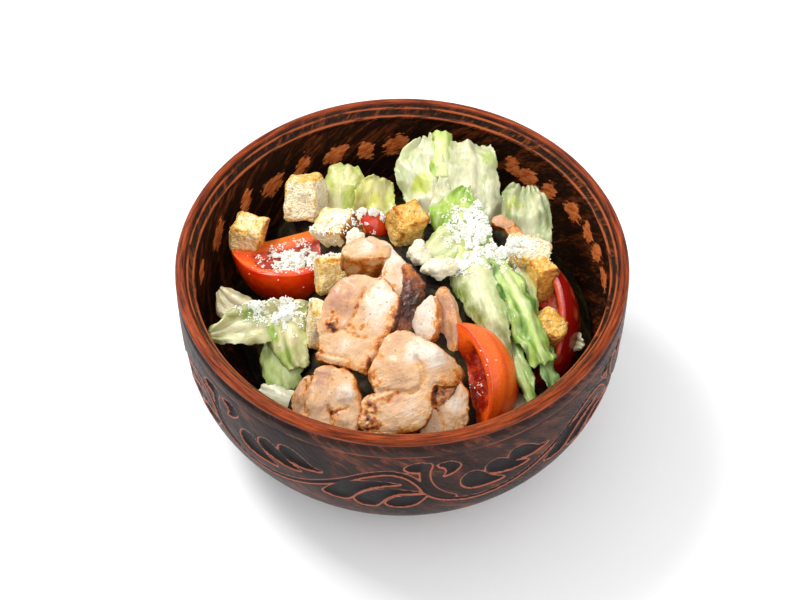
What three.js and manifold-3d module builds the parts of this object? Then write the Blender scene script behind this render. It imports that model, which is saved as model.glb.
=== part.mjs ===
// A chicken caesar salad in a carved clay bowl.
// Millimetres, +Z up, origin at the middle of the bowl's foot. The eater sits on the -Y side.
import * as THREE from "three";
import { mergeVertices } from "three/addons/utils/BufferGeometryUtils.js";
import Module from "manifold-3d";

const wasm = await Module();
wasm.setup();

// ---------------------------------------------------------------------------------------------
// Driving dimensions
// ---------------------------------------------------------------------------------------------

const RIM_HEIGHT = 88;
const BOWL_RADIUS = 90.8;
const CAVITY_RADIUS = 84;
const WIDEST_HEIGHT = 58;
const BELLY_DEPTH = 64.5;
const BELLY_POWER = 2.4;
const CAVITY_POWER = 2.5;
const WALL_DRAW = 0.8;
const FLOOR_HEIGHT = 7;
const BOWL_SEGMENTS = 44;
const LIP_INNER_RADIUS = 82.6;
const CARVING_REPEATS = 6;
const CARVING_DEPTH = 1.4;
const CARVING_PROUD = 0.5;
const CARVING_SIDES = 7;
const CARVING_UNEVENNESS = 2.8;

const GAP = 0.4;
const WALL_GAP = 0.5;
const SLICE_SIDES = 10;
const CRUST_ROUNDING = 0.24;
const LEAF_THICKNESS = 1.4;
const WIDE_LEAF = 18;
const MOST_LEAF_ROWS = 5;
const CORE_SIDES = 26;
const CORE_FOOT_RADIUS = 16;
const CORE_DRAFT = 4;
const OPEN_TOP = 110;

// ---------------------------------------------------------------------------------------------
// Making and joining solids
// ---------------------------------------------------------------------------------------------

// Seeded random numbers from 0 to 1.
function randomNumbers(seed) {
  let state = seed;
  return () => {
    state = (state + 0x6d2b79f5) | 0;
    let mixed = Math.imul(state ^ (state >>> 15), 1 | state);
    mixed = (mixed + Math.imul(mixed ^ (mixed >>> 7), 61 | mixed)) ^ mixed;
    return ((mixed ^ (mixed >>> 14)) >>> 0) / 4294967296;
  };
}

function vector(coordinates) {
  return new THREE.Vector3(...coordinates);
}

// A closed geometry as a solid that can be joined and cut.
function solidOf(geometry, matrix = new THREE.Matrix4()) {
  const bare = geometry.clone().applyMatrix4(matrix);
  bare.deleteAttribute("normal");
  bare.deleteAttribute("uv");
  const merged = mergeVertices(bare, 1e-3);
  return new wasm.Manifold(
    new wasm.Mesh({
      numProp: 3,
      vertProperties: merged.attributes.position.array,
      triVerts: new Uint32Array(merged.index.array),
    }),
  );
}

function geometryOf(solid) {
  const mesh = solid.getMesh();
  const geometry = new THREE.BufferGeometry();
  geometry.setAttribute("position", new THREE.BufferAttribute(new Float32Array(mesh.vertProperties), 3));
  geometry.setIndex(new THREE.BufferAttribute(new Uint32Array(mesh.triVerts), 1));
  return geometry;
}

function joined(solids) {
  return solids.reduce((whole, solid) => whole.add(solid));
}

// The biggest body of a solid, without the loose scraps that a cut leaves.
function largestBody(solid) {
  return solid.decompose().reduce((best, body) => (body.volume() > best.volume() ? body : best));
}

// Points and triangles as a geometry.
function facesGeometry(points, faces) {
  const geometry = new THREE.BufferGeometry().setFromPoints(points);
  geometry.setIndex(faces);
  return geometry;
}

// A closed surface through rings of equally many points, shut by one point at each end.
// Each ring runs counter-clockwise when seen from the last point.
function ringsGeometry(first, rings, last) {
  const count = rings[0].length;
  const at = (ring, k) => 1 + ring * count + (k % count);
  const points = [first, ...rings.flat(), last];
  const end = points.length - 1;
  const top = rings.length - 1;
  const faces = [];
  for (let k = 0; k < count; k += 1) {
    faces.push(0, at(0, k + 1), at(0, k));
    faces.push(end, at(top, k), at(top, k + 1));
    for (let ring = 0; ring < top; ring += 1) {
      faces.push(at(ring, k), at(ring, k + 1), at(ring + 1, k));
      faces.push(at(ring, k + 1), at(ring + 1, k + 1), at(ring + 1, k));
    }
  }
  return facesGeometry(points, faces);
}

// The frame of a piece that lies on a slope: Z along the slope's normal, X level with the world's X.
function slopeMatrix(position, normal, spinDegrees = 0) {
  const up = vector(normal).normalize();
  const across = new THREE.Vector3(1, 0, 0);
  across.addScaledVector(up, -across.dot(up)).normalize();
  const along = new THREE.Vector3().crossVectors(up, across);
  const matrix = new THREE.Matrix4().makeBasis(across, along, up).setPosition(...position);
  return matrix.multiply(new THREE.Matrix4().makeRotationZ(THREE.MathUtils.degToRad(spinDegrees)));
}

// A piece is a solid in its own frame, with the matrix that places it.
function makePiece(name, solid, matrix, material) {
  const box = solid.boundingBox();
  const size = vector(box.max).sub(vector(box.min));
  const grow = new THREE.Matrix4().makeScale(
    (size.x + 2 * GAP) / size.x,
    (size.y + 2 * GAP) / size.y,
    (size.z + 2 * GAP) / size.z,
  );
  return {
    name,
    material,
    placed: solid.transform(matrix.elements),
    grown: solid.transform(new THREE.Matrix4().multiplyMatrices(matrix, grow).elements),
  };
}

// ---------------------------------------------------------------------------------------------
// Bowl: thrown clay with a rolled lip, two thin ridges inside it and a carved band of leaves
// ---------------------------------------------------------------------------------------------

// Outer radius: a rounded belly under the widest line and a nearly upright wall over it.
function outerRadius(height) {
  if (height > WIDEST_HEIGHT) {
    return BOWL_RADIUS - WALL_DRAW * ((height - WIDEST_HEIGHT) / (RIM_HEIGHT - WIDEST_HEIGHT)) ** 2;
  }
  const share = (WIDEST_HEIGHT - height) / BELLY_DEPTH;
  return BOWL_RADIUS * (1 - share ** BELLY_POWER) ** (1 / BELLY_POWER);
}

// Inner radius below the ridges, from the floor upwards.
function cavityRadius(height) {
  if (height > WIDEST_HEIGHT) {
    return CAVITY_RADIUS - WALL_DRAW * ((height - WIDEST_HEIGHT) / (RIM_HEIGHT - WIDEST_HEIGHT)) ** 2;
  }
  const share = Math.min(1, (WIDEST_HEIGHT - height) / (WIDEST_HEIGHT - FLOOR_HEIGHT));
  return CAVITY_RADIUS * (1 - share ** CAVITY_POWER) ** (1 / CAVITY_POWER);
}

const OUTER_HEIGHTS = [0, 5, 12, 21, 32, 45, 62, 80];
const CAVITY_HEIGHTS = [80, 62, 46, 31, 19, 11, 7.4];
const LIP_PROFILE = [
  [89.4, 84],
  [90, 86],
  [89.2, 87.4],
  [88, RIM_HEIGHT],
  [86.9, RIM_HEIGHT],
  [86, 86.8],
  [85.6, 85.7],
  [84.6, 84.9],
  [83.9, 83],
  [LIP_INNER_RADIUS, 82.2],
];

function cavityProfile() {
  return CAVITY_HEIGHTS.map((height) => [cavityRadius(height), height]);
}

// A turned solid about Z, from a profile of [radius, height] that starts and ends on the axis.
function turnedSolid(profile) {
  const points = profile.map(([radius, height]) => new THREE.Vector2(radius, height));
  const lathe = new THREE.LatheGeometry(points, BOWL_SEGMENTS);
  return solidOf(lathe, new THREE.Matrix4().makeRotationX(Math.PI / 2));
}

// One carved hollow: a drop or a pointed leaf on the wall. Angles run to the right from the front.
// Its rim follows the round wall, a little proud of it, and its floor is one point.
function carvedHollow(angleDegrees, height, length, width, slopeDegrees, blunt) {
  const rim = [];
  for (let k = 0; k < CARVING_SIDES; k += 1) {
    const turn = (2 * Math.PI * k) / CARVING_SIDES;
    const along = (-length / 2) * Math.cos(turn);
    const narrowing = blunt ? 0.75 + 0.4 * Math.cos(turn) : 1.05;
    const across = (-width / 2) * Math.sin(turn) * narrowing;
    const proud = CARVING_PROUD - along ** 2 / (2 * BOWL_RADIUS);
    rim.push(new THREE.Vector3(along, across, proud));
  }
  const floorPoint = new THREE.Vector3(blunt ? -0.14 * length : 0, 0, -CARVING_DEPTH);
  const lid = new THREE.Vector3(0, 0, 3);
  const slope = THREE.MathUtils.degToRad(slopeDegrees);
  const angle = THREE.MathUtils.degToRad(angleDegrees - 90);
  const radial = new THREE.Vector3(Math.cos(angle), Math.sin(angle), 0);
  const wallLean = (outerRadius(height + 3) - outerRadius(height - 3)) / 6;
  const outward = radial.clone().setZ(-wallLean).normalize();
  const sideways = new THREE.Vector3(-Math.sin(angle), Math.cos(angle), 0);
  const upward = new THREE.Vector3().crossVectors(outward, sideways);
  const place = radial.clone().multiplyScalar(outerRadius(height)).setZ(height);
  const matrix = new THREE.Matrix4().makeBasis(sideways, upward, outward).setPosition(place);
  matrix.multiply(new THREE.Matrix4().makeRotationZ(slope));
  return solidOf(ringsGeometry(floorPoint, [rim], lid), matrix);
}

// Each repeat of the band: three drops and three nested leaves, each as [angle, height, length,
// width, slope].
const CARVED_DROPS = [
  [20.6, 55.5, 21, 10.5, -17],
  [27.4, 60, 21, 10, -18],
  [33.4, 64, 21, 9.5, -15],
];
const CARVED_LEAVES = [
  [-10.5, 54, 32, 9.5, 21],
  [-3.4, 49.6, 27, 8.5, 14],
  [1.2, 46.5, 17, 7, 22],
];

// The carver's spacing is a little tighter at the front than at the back.
function carvingTurn(repeat) {
  const even = (360 / CARVING_REPEATS) * repeat;
  return even - CARVING_UNEVENNESS * Math.sin(THREE.MathUtils.degToRad(even));
}

function makeBowl() {
  const outside = OUTER_HEIGHTS.map((height) => [outerRadius(height), height]);
  const profile = [[0, 0], ...outside, ...LIP_PROFILE, ...cavityProfile(), [0, FLOOR_HEIGHT]];
  let bowl = turnedSolid(profile);
  for (let repeat = 0; repeat < CARVING_REPEATS; repeat += 1) {
    const turn = carvingTurn(repeat);
    const drops = CARVED_DROPS.map(([angle, ...rest]) => carvedHollow(angle + turn, ...rest, true));
    const leaves = CARVED_LEAVES.map(([angle, ...rest]) => carvedHollow(angle + turn, ...rest, false));
    for (const hollow of [...drops, ...leaves]) {
      bowl = bowl.subtract(hollow);
    }
  }
  return bowl;
}

// The room inside the bowl, a gap clear of its wall and open to above the heap.
function makeRoom() {
  const wall = cavityProfile().map(([radius, height]) => [radius - WALL_GAP, height + WALL_GAP]);
  const neck = LIP_INNER_RADIUS - WALL_GAP;
  return turnedSolid([[0, FLOOR_HEIGHT + WALL_GAP], ...wall.reverse(), [neck, OPEN_TOP], [0, OPEN_TOP]]);
}

// ---------------------------------------------------------------------------------------------
// Chicken: slices of fried thigh, each two or three rounded lobes with a browned rim
// ---------------------------------------------------------------------------------------------

// One lobe: a thick oval with a rounded, slightly uneven edge, swollen by the clearance.
function meatLobe([u, v, long, short, turnDegrees], thickness, phase, clearance = 0) {
  const turn = THREE.MathUtils.degToRad(turnDegrees);
  const ring = (share, height) => {
    const points = [];
    for (let k = 0; k < SLICE_SIDES; k += 1) {
      const angle = (2 * Math.PI * k) / SLICE_SIDES;
      const uneven = 1 + 0.05 * Math.sin(3 * angle + phase) + 0.03 * Math.sin(5 * angle + 2 * phase);
      const a = (share * long * uneven + clearance) * Math.cos(angle);
      const b = (share * short * uneven + clearance) * Math.sin(angle);
      const x = u + a * Math.cos(turn) - b * Math.sin(turn);
      const y = v + a * Math.sin(turn) + b * Math.cos(turn);
      points.push(new THREE.Vector3(x, y, height));
    }
    return points;
  };
  const half = thickness / 2 + clearance;
  const rings = [ring(0.84, -half), ring(1, 0), ring(0.84, half)];
  const under = new THREE.Vector3(u, v, -half);
  const over = new THREE.Vector3(u, v, half + 0.6);
  return solidOf(ringsGeometry(under, rings, over));
}

// Lobes are [across, up the slope, long radius, short radius, turn in degrees].
const SLICES = [
  {
    name: "chicken_slice_1",
    at: [-15, -29.8, 80],
    normal: [-0.2, -0.42, 0.88],
    thickness: 8.5,
    lobes: [
      [-9, 8.5, 13.5, 9, 65],
      [8, 5.5, 16.5, 9.8, 66],
      [-3.5, -9.5, 13, 9.2, 3],
    ],
  },
  {
    name: "chicken_slice_2",
    at: [4.8, -53.5, 75.5],
    normal: [-0.1, -0.5, 0.86],
    thickness: 9,
    lobes: [
      [-6.8, 7, 13.2, 10.5, 95],
      [8, 2.5, 13, 9.6, 80],
      [-6.5, -9.3, 14, 9.8, 8],
    ],
  },
  {
    name: "chicken_slice_3",
    at: [-25.6, -58, 70],
    normal: [0, -0.5, 0.86],
    thickness: 8,
    lobes: [
      [-4.8, 0.3, 12, 5.9, 94],
      [3.5, 0, 12, 7, 82],
    ],
  },
  {
    name: "chicken_slice_5",
    at: [10.2, -25.5, 80],
    normal: [-0.5, -0.5, 0.7],
    thickness: 7,
    lobes: [[0, 0, 10.5, 5.6, 70]],
  },
  {
    name: "chicken_slice_6",
    at: [19, -25, 76.5],
    normal: [-0.41, -0.51, 0.76],
    thickness: 6.5,
    lobes: [[0, 0, 14.5, 4.9, 97]],
  },
  {
    name: "chicken_slice_7",
    at: [18, -61.5, 68],
    normal: [0.1, -0.5, 0.86],
    thickness: 7.5,
    lobes: [[0, 0, 12, 10, 80]],
  },
  {
    name: "chicken_slice_4",
    at: [-38, -54.5, 66],
    normal: [-0.52, -0.46, 0.72],
    thickness: 6,
    lobes: [[0, 0, 9.2, 3.9, 72]],
  },
];

function makeSlice({ name, at, normal, thickness, lobes }) {
  const matrix = slopeMatrix(at, normal);
  const slice = (clearance) => {
    const lobeAt = (lobe, index) => meatLobe(lobe, thickness, 1.3 * index + thickness, clearance);
    const solids = lobes.map(lobeAt);
    return joined(solids).transform(matrix.elements);
  };
  return { name, material: "meat", placed: slice(0), grown: slice(GAP) };
}

// The curled slice: a thick cap, a pale band that bends round to the right and its crusted end.
const CURL_LOBES = [
  { at: [-15, 2.5, 81], normal: [0, -0.2, 0.98], lobe: [0, 0, 10.5, 7, 0], thickness: 12 },
  { at: [-2, -3.5, 82], normal: [0.2, -0.35, 0.9], lobe: [0, 0, 11, 6.5, 118], thickness: 9 },
  { at: [4.6, -18, 79], normal: [0.35, -0.45, 0.82], lobe: [0, 0, 11, 4.8, 100], thickness: 9 },
];

function makeCurl() {
  const curl = (clearance) => {
    const solids = CURL_LOBES.map(({ at, normal, lobe, thickness }, index) =>
      meatLobe(lobe, thickness, 2 + index, clearance).transform(slopeMatrix(at, normal).elements),
    );
    return joined(solids);
  };
  return { name: "chicken_curl", material: "meat", placed: curl(0), grown: curl(GAP) };
}

function makeChickenBit() {
  const lobe = meatLobe([0, 0, 6.2, 4.2, 130], 6, 1);
  return makePiece("chicken_bit", lobe, slopeMatrix([43.5, 24, 76.5], [0.1, -0.3, 0.95]), "meat");
}

// ---------------------------------------------------------------------------------------------
// Croutons: toasted cubes of white bread with rounded, slightly lumpy edges
// ---------------------------------------------------------------------------------------------

// at is the middle, size is the three edges, turn is about X, Y and Z in degrees.
const CROUTONS = [
  { name: "crouton_1", at: [-64, 26, 70], size: [13.5, 13, 15], turn: [-6, 6, -16] },
  { name: "crouton_2", at: [-40.5, 44, 73], size: [15, 15, 19], turn: [-14, -12, -18] },
  { name: "crouton_3", at: [-26, 21, 76.5], size: [17, 14, 15], turn: [10, 8, 22] },
  { name: "crouton_4", at: [2.2, 25, 78], size: [14, 14, 15], turn: [12, 8, 30] },
  { name: "crouton_5", at: [-29, -1.5, 76], size: [12, 11, 15], turn: [-26, 8, 12] },
  { name: "crouton_6", at: [-33.5, -25, 74], size: [7.5, 12, 18], turn: [-20, 14, 4] },
  { name: "crouton_7", at: [56.5, -2, 73.5], size: [10, 12, 17], turn: [-14, 10, 20] },
  { name: "crouton_8", at: [50.5, 9, 77], size: [18, 13, 11], turn: [6, 12, -14] },
  { name: "crouton_9", at: [58, -24, 71], size: [12, 11, 9], turn: [10, 20, -28] },
];

function makeCrouton({ name, at, size, turn }, index) {
  const box = new THREE.BoxGeometry(1, 1, 1, 3, 3, 3);
  const positions = box.getAttribute("position");
  const point = new THREE.Vector3();
  const inner = new THREE.Vector3();
  const flat = 0.5 - CRUST_ROUNDING;
  for (let k = 0; k < positions.count; k += 1) {
    point.fromBufferAttribute(positions, k);
    inner.copy(point).clampScalar(-flat, flat);
    point.sub(inner).normalize().multiplyScalar(CRUST_ROUNDING).add(inner);
    const lump = 1 + 0.045 * Math.sin(5 * point.x + 7 * point.y + 4 * point.z + 2.1 * index);
    positions.setXYZ(k, point.x * size[0] * lump, point.y * size[1] * lump, point.z * size[2] * lump);
  }
  const angles = turn.map((degrees) => THREE.MathUtils.degToRad(degrees));
  const matrix = new THREE.Matrix4().makeRotationFromEuler(new THREE.Euler(...angles));
  return makePiece(name, solidOf(box), matrix.setPosition(...at), "bread");
}

// ---------------------------------------------------------------------------------------------
// Tomato: wedges with a thick wall round a hollow seed chamber in each cut face
// ---------------------------------------------------------------------------------------------

// at is the middle of the inner edge, axis runs from end to end, out points at the middle of the skin.
const TOMATOES = [
  {
    name: "tomato_left",
    at: [-47, 30, 66],
    axis: [0.95, 0.32, 0],
    out: [0.3, -0.93, -0.375],
    half: 26,
    radius: 31,
    opening: 76,
    rings: 8,
  },
  {
    name: "tomato_front",
    at: [27.5, -41, 61.5],
    axis: [0.3, -0.78, -0.3],
    out: [0.75, 0.1, 0.6],
    half: 23,
    radius: 21,
    opening: 80,
    rings: 8,
  },
  {
    name: "tomato_right",
    at: [47.5, -14, 61],
    axis: [0.05, -0.93, -0.3],
    out: [0.98, 0.05, 0.25],
    half: 28,
    radius: 24.5,
    opening: 70,
    rings: 7,
  },
  {
    name: "tomato_middle",
    at: [-13, 32, 70],
    axis: [0.95, -0.1, 0.2],
    out: [0.2, -0.75, 0.55],
    half: 9,
    radius: 11,
    opening: 90,
    rings: 5,
  },
];

// The outline of a wedge across its axis: [share of the radius, angle] pairs, hollowed in both faces.
function wedgeSection(radius, opening, hollow) {
  const edge = THREE.MathUtils.degToRad(opening / 2);
  const dip = (share) => edge - hollow * (share === 0.5 ? 0.34 : 0.12);
  const points = [[0.06, 0]];
  for (const share of [0.25, 0.5, 0.8]) {
    points.push([share, -dip(share)]);
  }
  for (const share of [-1, -0.5, 0, 0.5, 1]) {
    points.push([1, share * edge]);
  }
  for (const share of [0.8, 0.5, 0.25]) {
    points.push([share, dip(share)]);
  }
  return points.map(([share, angle]) => {
    const reach = radius * share;
    return [reach * Math.cos(angle), reach * Math.sin(angle)];
  });
}

// A wedge about the middle of its inner edge: X points at its skin and Z runs from end to end.
function wedgeSolid({ half, radius, opening, rings: count }, clearance) {
  const back = clearance / Math.sin(THREE.MathUtils.degToRad(opening / 2));
  const reachOut = half + 1.5 * clearance;
  const rings = [];
  for (let k = 0; k < count; k += 1) {
    const polar = (Math.PI * (k + 1)) / (count + 1);
    const reach = radius * Math.sin(polar) ** 0.8 + clearance + back;
    const section = wedgeSection(reach, opening, Math.sin(polar) ** 3);
    rings.push(section.map(([x, y]) => new THREE.Vector3(x - back, y, -reachOut * Math.cos(polar))));
  }
  const ends = [-reachOut, reachOut].map((z) => new THREE.Vector3(0.2 * radius, 0, z));
  return solidOf(ringsGeometry(ends[0], rings, ends[1]));
}

function makeTomato(wedge) {
  const along = vector(wedge.axis).normalize();
  const outward = vector(wedge.out);
  outward.addScaledVector(along, -outward.dot(along)).normalize();
  const across = new THREE.Vector3().crossVectors(along, outward);
  const matrix = new THREE.Matrix4().makeBasis(outward, across, along).setPosition(...wedge.at);
  return {
    name: wedge.name,
    material: "tomato",
    placed: wedgeSolid(wedge, 0).transform(matrix.elements),
    grown: wedgeSolid(wedge, GAP).transform(matrix.elements),
  };
}

// ---------------------------------------------------------------------------------------------
// Cheese: soft lumps, and grated drifts fused to what they lie on
// ---------------------------------------------------------------------------------------------

// A rounded lump with an uneven skin, about its own middle.
function lumpSolid(radii, sides, layers, roughness, seed) {
  const random = randomNumbers(seed);
  const rings = [];
  for (let layer = 1; layer < layers; layer += 1) {
    const polar = Math.PI * (1 - layer / layers);
    const ring = [];
    for (let k = 0; k < sides; k += 1) {
      const angle = (2 * Math.PI * k) / sides;
      const reach = 1 + roughness * (random() - 0.5);
      const level = Math.sin(polar) * reach;
      ring.push(
        new THREE.Vector3(
          radii[0] * level * Math.cos(angle),
          radii[1] * level * Math.sin(angle),
          radii[2] * Math.cos(polar) * reach,
        ),
      );
    }
    rings.push(ring);
  }
  const low = new THREE.Vector3(0, 0, -radii[2]);
  const high = new THREE.Vector3(0, 0, radii[2]);
  return solidOf(ringsGeometry(low, rings, high));
}

const CHEESE_LUMPS = [
  { name: "cheese_lump_1", at: [7, 6, 79], radii: [5.5, 7, 5.5] },
  { name: "cheese_lump_2", at: [14.5, 0.5, 79], radii: [8.5, 5.5, 5] },
  { name: "cheese_lump_3", at: [-19, 12, 82], radii: [4.5, 5.5, 4.5] },
];

function makeLump({ name, at, radii }, index) {
  const solid = lumpSolid(radii, 9, 5, 0.24, 40 + index);
  return makePiece(name, solid, new THREE.Matrix4().makeTranslation(...at), "cheese");
}

// A drift of grated cheese: a low uneven mound that lies on a slope.
function driftSolid({ at, normal, radii }, seed, clearance = 0) {
  const swollen = radii.map((radius) => radius + clearance);
  return lumpSolid(swollen, 9, 4, 0.3, seed).transform(slopeMatrix(at, normal).elements);
}

// The drifts that lie on a tomato wedge or a crouton, by the name of what they are fused to.
const TOPPED = {
  tomato_left: { at: [-46, 12, 73], normal: [0, 0.28, 0.96], radii: [15, 9, 3] },
  crouton_3: { at: [-26, 19.5, 84], normal: [0.1, -0.2, 1], radii: [6.5, 6, 2] },
  tomato_middle: { at: [-11, 24, 80.5], normal: [0, -0.2, 1], radii: [6, 5.5, 2.2] },
};
const LEAF_DRIFTS = [
  { at: [28, 19, 78], normal: [0.1, -0.35, 1], radii: [12, 15, 3] },
  { at: [42, 6, 78.5], normal: [0.2, -0.3, 1], radii: [9, 7, 3] },
  { at: [-46, -19, 69.5], normal: [-0.1, -0.4, 1], radii: [8, 7, 2.6] },
];

// ---------------------------------------------------------------------------------------------
// Lettuce: torn iceberg leaves on a core of leaves and dressing that fills the bowl below them
// ---------------------------------------------------------------------------------------------

// The core's top is a sum of mounds: [x, y, height, spread along X, spread along Y].
const CORE_BASE = 30;
const CORE_MOUNDS = [
  [5, -10, 38, 44, 50],
  [-6, -44, 15, 28, 20],
  [30, 0, 6, 16, 22],
  [56, 2, 10, 14, 22],
  [2, 27, 10, 22, 15],
  [-27, 24, 11, 11, 13],
  [-41, 43, 12, 12, 14],
  [-72, -24, -26, 17, 20],
  [-18, -17, 9, 14, 11],
  [-36, -55, 15, 12, 10],
  [18, -62, 7, 12, 9],
  [-32, -5, 7, 9, 9],
  [-20, 12, 10, 8, 7],
  [-43, 47, 12, 10, 10],
  [-35, -24, 6, 8, 9],
  [52, 8, 10, 11, 9],
  [44, 27, 18, 9, 8],
  [59, -24, 20, 9, 8],
];

function coreHeight(x, y) {
  return CORE_MOUNDS.reduce((height, [mx, my, rise, sx, sy]) => {
    const fall = (x - mx) ** 2 / (2 * sx * sx) + (y - my) ** 2 / (2 * sy * sy);
    return height + rise * Math.exp(-fall);
  }, CORE_BASE);
}

function makeCore() {
  const coreReach = (height) => {
    const draft = CORE_DRAFT * Math.max(0, 1 - height / WIDEST_HEIGHT);
    return cavityRadius(height) - 2 * WALL_GAP - draft;
  };
  const edges = [];
  for (let k = 0; k < CORE_SIDES; k += 1) {
    const angle = (2 * Math.PI * k) / CORE_SIDES;
    let height = 40;
    for (let step = 0; step < 12; step += 1) {
      const reach = coreReach(height);
      height = (height + coreHeight(reach * Math.cos(angle), reach * Math.sin(angle))) / 2;
    }
    edges.push({ angle, height, reach: coreReach(height) });
  }
  const bottom = FLOOR_HEIGHT + 2 * WALL_GAP;
  const firstLevel = bottom + 3;
  const wallRing = (share) =>
    edges.map(({ angle, height }) => {
      const level = firstLevel + (height - firstLevel) * share;
      const reach = coreReach(level) - 1.5 * (1 - share);
      return new THREE.Vector3(reach * Math.cos(angle), reach * Math.sin(angle), level);
    });
  const topRing = (share) =>
    edges.map(({ angle, reach }) => {
      const x = reach * share * Math.cos(angle);
      const y = reach * share * Math.sin(angle);
      const bump = 1.1 * Math.sin(0.35 * x + 1) * Math.sin(0.31 * y + 2);
      return new THREE.Vector3(x, y, coreHeight(x, y) + bump);
    });
  const footRing = edges.map(({ angle }) => {
    const foot = new THREE.Vector3(CORE_FOOT_RADIUS, 0, bottom);
    return foot.applyAxisAngle(new THREE.Vector3(0, 0, 1), angle);
  });
  const rings = [
    footRing,
    ...[0, 0.4, 1].map(wallRing),
    ...[0.88, 0.71, 0.54, 0.36, 0.17].map(topRing),
  ];
  const under = new THREE.Vector3(0, 0, bottom);
  const over = new THREE.Vector3(0, 0, coreHeight(0, 0));
  return solidOf(ringsGeometry(under, rings, over));
}

// base and tip are the two ends, face is the way its upper side looks. width is the widest span,
// foot is the share of it at the base, arch and cup bow it along and across, ruffle waves its edges.
const LEAVES = [
  // yellow-green leaf at the back, folded in two lobes
  {
    base: [-30, 42, 60], tip: [-24, 65, 66], face: [-0.2, -0.7, 0.7],
    width: 19, foot: 0.7, arch: 3, cup: 0.5, ruffle: 3, waves: 1.5,
  },
  {
    base: [-15, 38, 60], tip: [-11, 59, 64], face: [0.1, -0.6, 0.8],
    width: 18, foot: 0.7, arch: 4, cup: -0.4, ruffle: 2.5, waves: 1.4,
  },
  // large pale leaf that stands against the back wall
  {
    base: [14, 30, 62], tip: [19, 73, 80], face: [0, -0.75, 0.66],
    width: 40, foot: 0.72, arch: -3, cup: 0.28, ruffle: 4, waves: 2.2,
  },
  {
    base: [24, 34, 66], tip: [30, 68, 77], face: [0.25, -0.7, 0.66],
    width: 24, foot: 0.8, arch: 4, cup: -0.3, ruffle: 2, waves: 1.2,
  },
  {
    base: [17, 60, 79], tip: [18, 72, 84], face: [0, -0.5, 0.86],
    width: 11, foot: 0.8, arch: 2.5, cup: 0.9, ruffle: 1, waves: 1,
  },
  // crumpled grey-green leaf at the back right
  {
    base: [46, 24, 64], tip: [58, 50, 70], face: [-0.1, -0.6, 0.8],
    width: 27, foot: 0.9, arch: 5, cup: -0.5, ruffle: 4, waves: 2.6,
  },
  // bright green leaf under the grated cheese
  {
    base: [22, 2, 73], tip: [24, 43, 80], face: [-0.15, -0.45, 0.9],
    width: 27, foot: 0.6, arch: 3, cup: 0.3, ruffle: 3, waves: 1.7,
  },
  // pale triangular rib that runs to the lower right, and the folded green leaf beside it
  {
    base: [28, 10, 77], tip: [41, -43, 71], face: [-0.35, -0.35, 0.87],
    width: 20, foot: 0.8, arch: 5, cup: -0.35, ruffle: 1, waves: 1,
  },
  {
    base: [38, 4, 75], tip: [56, -55, 69], face: [0.5, -0.3, 0.8],
    width: 20, foot: 0.6, arch: 7, cup: -0.55, ruffle: 3, waves: 3,
  },
  {
    base: [40, -12, 70], tip: [48, -58, 67], face: [-0.7, -0.3, 0.65],
    width: 13, foot: 0.8, arch: 5, cup: 0.4, ruffle: 2, waves: 2,
  },
  {
    base: [44, 3, 74], tip: [50, -14, 72], face: [0.3, -0.4, 0.86],
    width: 11, foot: 0.9, arch: 2, cup: -0.3, ruffle: 1, waves: 1,
  },
  // leaf that reaches over to the left wall, its crumpled back part and the part that hangs down in front
  {
    base: [-42, -12, 64], tip: [-78.5, -28, 70.5], face: [-0.1, -0.45, 0.88],
    width: 22, foot: 0.75, arch: 2, cup: 0.35, ruffle: 2.5, waves: 2,
  },
  {
    base: [-52, -14, 58], tip: [-74, -10, 67], face: [0.1, -0.6, 0.8],
    width: 13, foot: 0.9, arch: 3, cup: -0.4, ruffle: 2.5, waves: 2,
  },
  {
    base: [-42, -11, 66], tip: [-42, -46, 57], face: [-0.2, -0.5, 0.85],
    width: 17, foot: 0.85, arch: 5, cup: -0.3, ruffle: 2, waves: 2,
  },
  {
    base: [-41, -22, 62], tip: [-44, -51, 54], face: [-0.2, -0.6, 0.78],
    width: 15, foot: 0.8, arch: 3, cup: -0.4, ruffle: 1.5, waves: 1.4,
  },
  // pale stem under the front of it, and the scraps at the right of the rim
  {
    base: [-34, -44, 54], tip: [-52, -54, 56], face: [-0.2, -0.5, 0.85],
    width: 14, foot: 0.8, arch: 3, cup: -0.6, ruffle: 0.6, waves: 1,
  },
  {
    base: [60, -12, 50], tip: [73, -30, 66], face: [-0.3, -0.4, 0.86],
    width: 13, foot: 0.8, arch: 2, cup: 0.4, ruffle: 2, waves: 2,
  },
  {
    base: [42, -42, 50], tip: [48, -63, 62], face: [0, -0.4, 0.9],
    width: 12, foot: 0.8, arch: 2, cup: -0.4, ruffle: 1, waves: 1,
  },
];

// The share of its full width that a leaf has from base to tip.
function leafProfile(foot, v) {
  const rise = Math.min(1, v / 0.55);
  const spread = foot + (1 - foot) * rise * rise * (3 - 2 * rise);
  return spread * Math.sqrt(1 - (Math.max(0, v - 0.45) / 0.58) ** 2.2);
}

// A point of a leaf's middle surface: u runs across from -1 to 1, v from base to tip.
function leafPoint(leaf, axes, u, v) {
  const { base, tip, width, foot, arch, cup, ruffle, waves } = leaf;
  const half = (width / 2) * leafProfile(foot, v);
  const wave = Math.sin(2 * Math.PI * waves * v + 2.1 * (u < 0) + width);
  const lift = arch * Math.sin(Math.PI * v) + cup * u * u * half + ruffle * Math.abs(u) ** 1.6 * wave;
  return vector(base)
    .lerp(vector(tip), v)
    .addScaledVector(axes.side, u * half)
    .addScaledVector(axes.normal, lift);
}

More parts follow.
